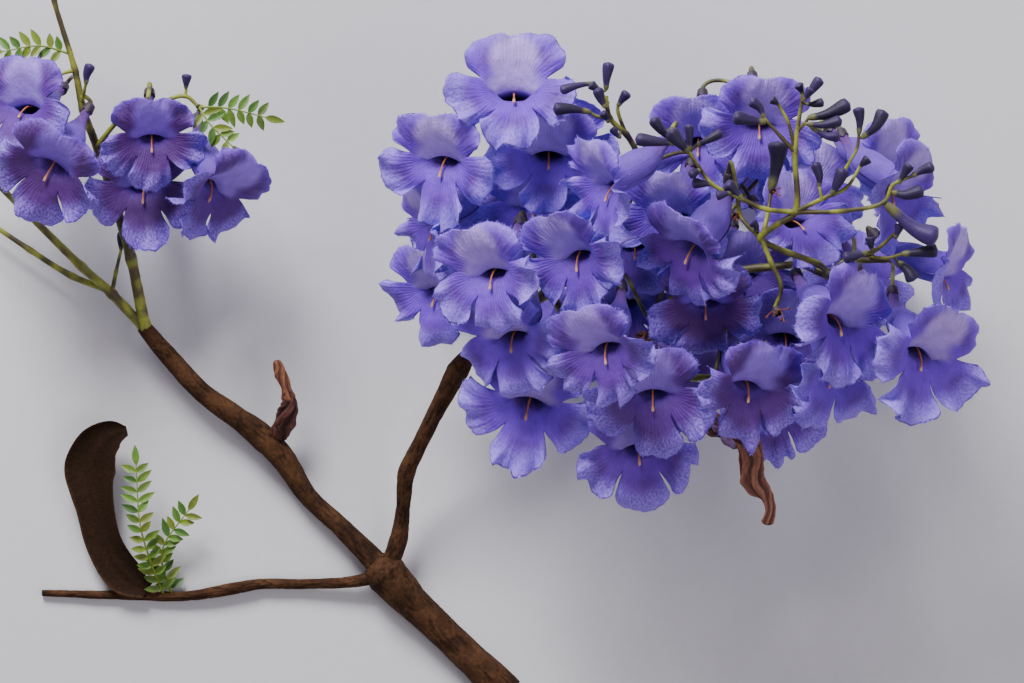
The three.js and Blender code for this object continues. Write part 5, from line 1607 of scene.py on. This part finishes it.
def dress_limb(name):
    """A woody limb and the feathery leaves on it."""
    shape = grow_limb(name)
    random = np.random.default_rng(LIMB_LEAF_SEED)
    for leaf in LEAVES.get(name, []):
        grow_feather(shape, leaf, random)
    shape.piece(f"wood_{name}", [bark, leaf_skin], [name], "bark")


def dress_stalk(number, name, footstalks):
    """A stalk with its branchlets, footstalks, buds and remains of flowers, and its leaves."""
    runs = [STALKS[name], *BRANCHLETS.get(name, [])]
    random = np.random.default_rng(STALK_SEED + number)
    shape = Shape()
    grow_stem(shape, runs[0], number, STEM_SIDES)
    for run in runs[1:]:
        grow_stem(shape, run, number + 0.5, BRANCHLET_SIDES)
    for carrier, curve, foot, back in footstalks:
        if carrier == name:
            draw_footstalk(shape, curve, number)
            grow_calyx(shape, foot, back)
    for row in BUDS.get(name, []):
        grow_bud(shape, row, runs, random)
    for across, down, height, size, way in TUFTS.get(name, []):
        grow_tuft(shape, place(across, down, height), np.array(way), size, random)
    if name in LEAVES:
        leafy = Shape()
        for leaf in LEAVES[name]:
            grow_feather(leafy, leaf, random)
        leafy.piece(f"leaves_{name}", [stalk, leaf_skin], [], "stalk")
    shape.piece(f"stalk_{name}", [stalk, bud_skin], [name], "stalk")


blooms = [Bloom(seed + 1, *row) for seed, row in enumerate(BLOOMS)]
for bloom in blooms:
    dress_bloom(bloom, [petal, stamen, hairs])
for name in WOOD:
    dress_limb(name)

stems = list(STALKS.items())
stems += [(name, run) for name, runs in BRANCHLETS.items() for run in runs]
ends = {bloom.name: (bloom.foot, bloom.back) for bloom in blooms}
ends["dried_flower"] = run_start(DRIED_RUN)
footstalks = grow_footstalks(stems, ends)
for number, name in enumerate(STALKS):
    dress_stalk(number, name, footstalks)

grow_pod().piece("pod_dry", [pod_skin], ["seed_pod"], "pod")
grow_dried_flower().piece("flower_dried", [dry_skin], ["dried_flower"], "dried")
grow_withered_bud(stems).piece("bud_withered", [dry_skin], [], "dried")
grow_stub().piece("stub_dried", [dry_skin], ["dried_stub"], "dried")


# Floor, light and camera

def add_floor():
    bpy.ops.mesh.primitive_plane_add(size=FLOOR_SIZE, location=(0, 0, 0))
    floor = bpy.context.object
    floor.name = "floor"
    floor.data.materials.append(floor_material())


def add_light(name, place_at, size, energy, colour):
    data = bpy.data.lights.new(name, "AREA")
    data.shape = "DISK"
    data.size = size
    data.energy = energy
    data.color = colour
    lamp = bpy.data.objects.new(name, data)
    lamp.location = place_at
    lamp.rotation_euler = Vector(place_at).to_track_quat("Z", "Y").to_euler()
    bpy.context.scene.collection.objects.link(lamp)


def add_camera():
    """The camera looks straight down, and its width shows PICTURE_SPAN at the flowers' height."""
    data = bpy.data.cameras.new("eye")
    data.sensor_width = SENSOR
    data.lens = SENSOR * (EYE_HEIGHT - FLOWER_HEIGHT) / PICTURE_SPAN
    data.clip_end = CLIP_END
    camera = bpy.data.objects.new("eye", data)
    camera.location = (SHIFT[0] * MM, SHIFT[1] * MM, (EYE_HEIGHT + SHIFT[2]) * MM)
    bpy.context.scene.collection.objects.link(camera)
    bpy.context.scene.camera = camera


def add_sky():
    world = bpy.data.worlds.new("studio")
    world.use_nodes = True
    background = world.node_tree.nodes["Background"]
    background.inputs["Color"].default_value = SKY
    background.inputs["Strength"].default_value = SKY_STRENGTH
    bpy.context.scene.world = world


add_floor()
add_sky()
for row in LIGHTS:
    add_light(*row)
add_camera()
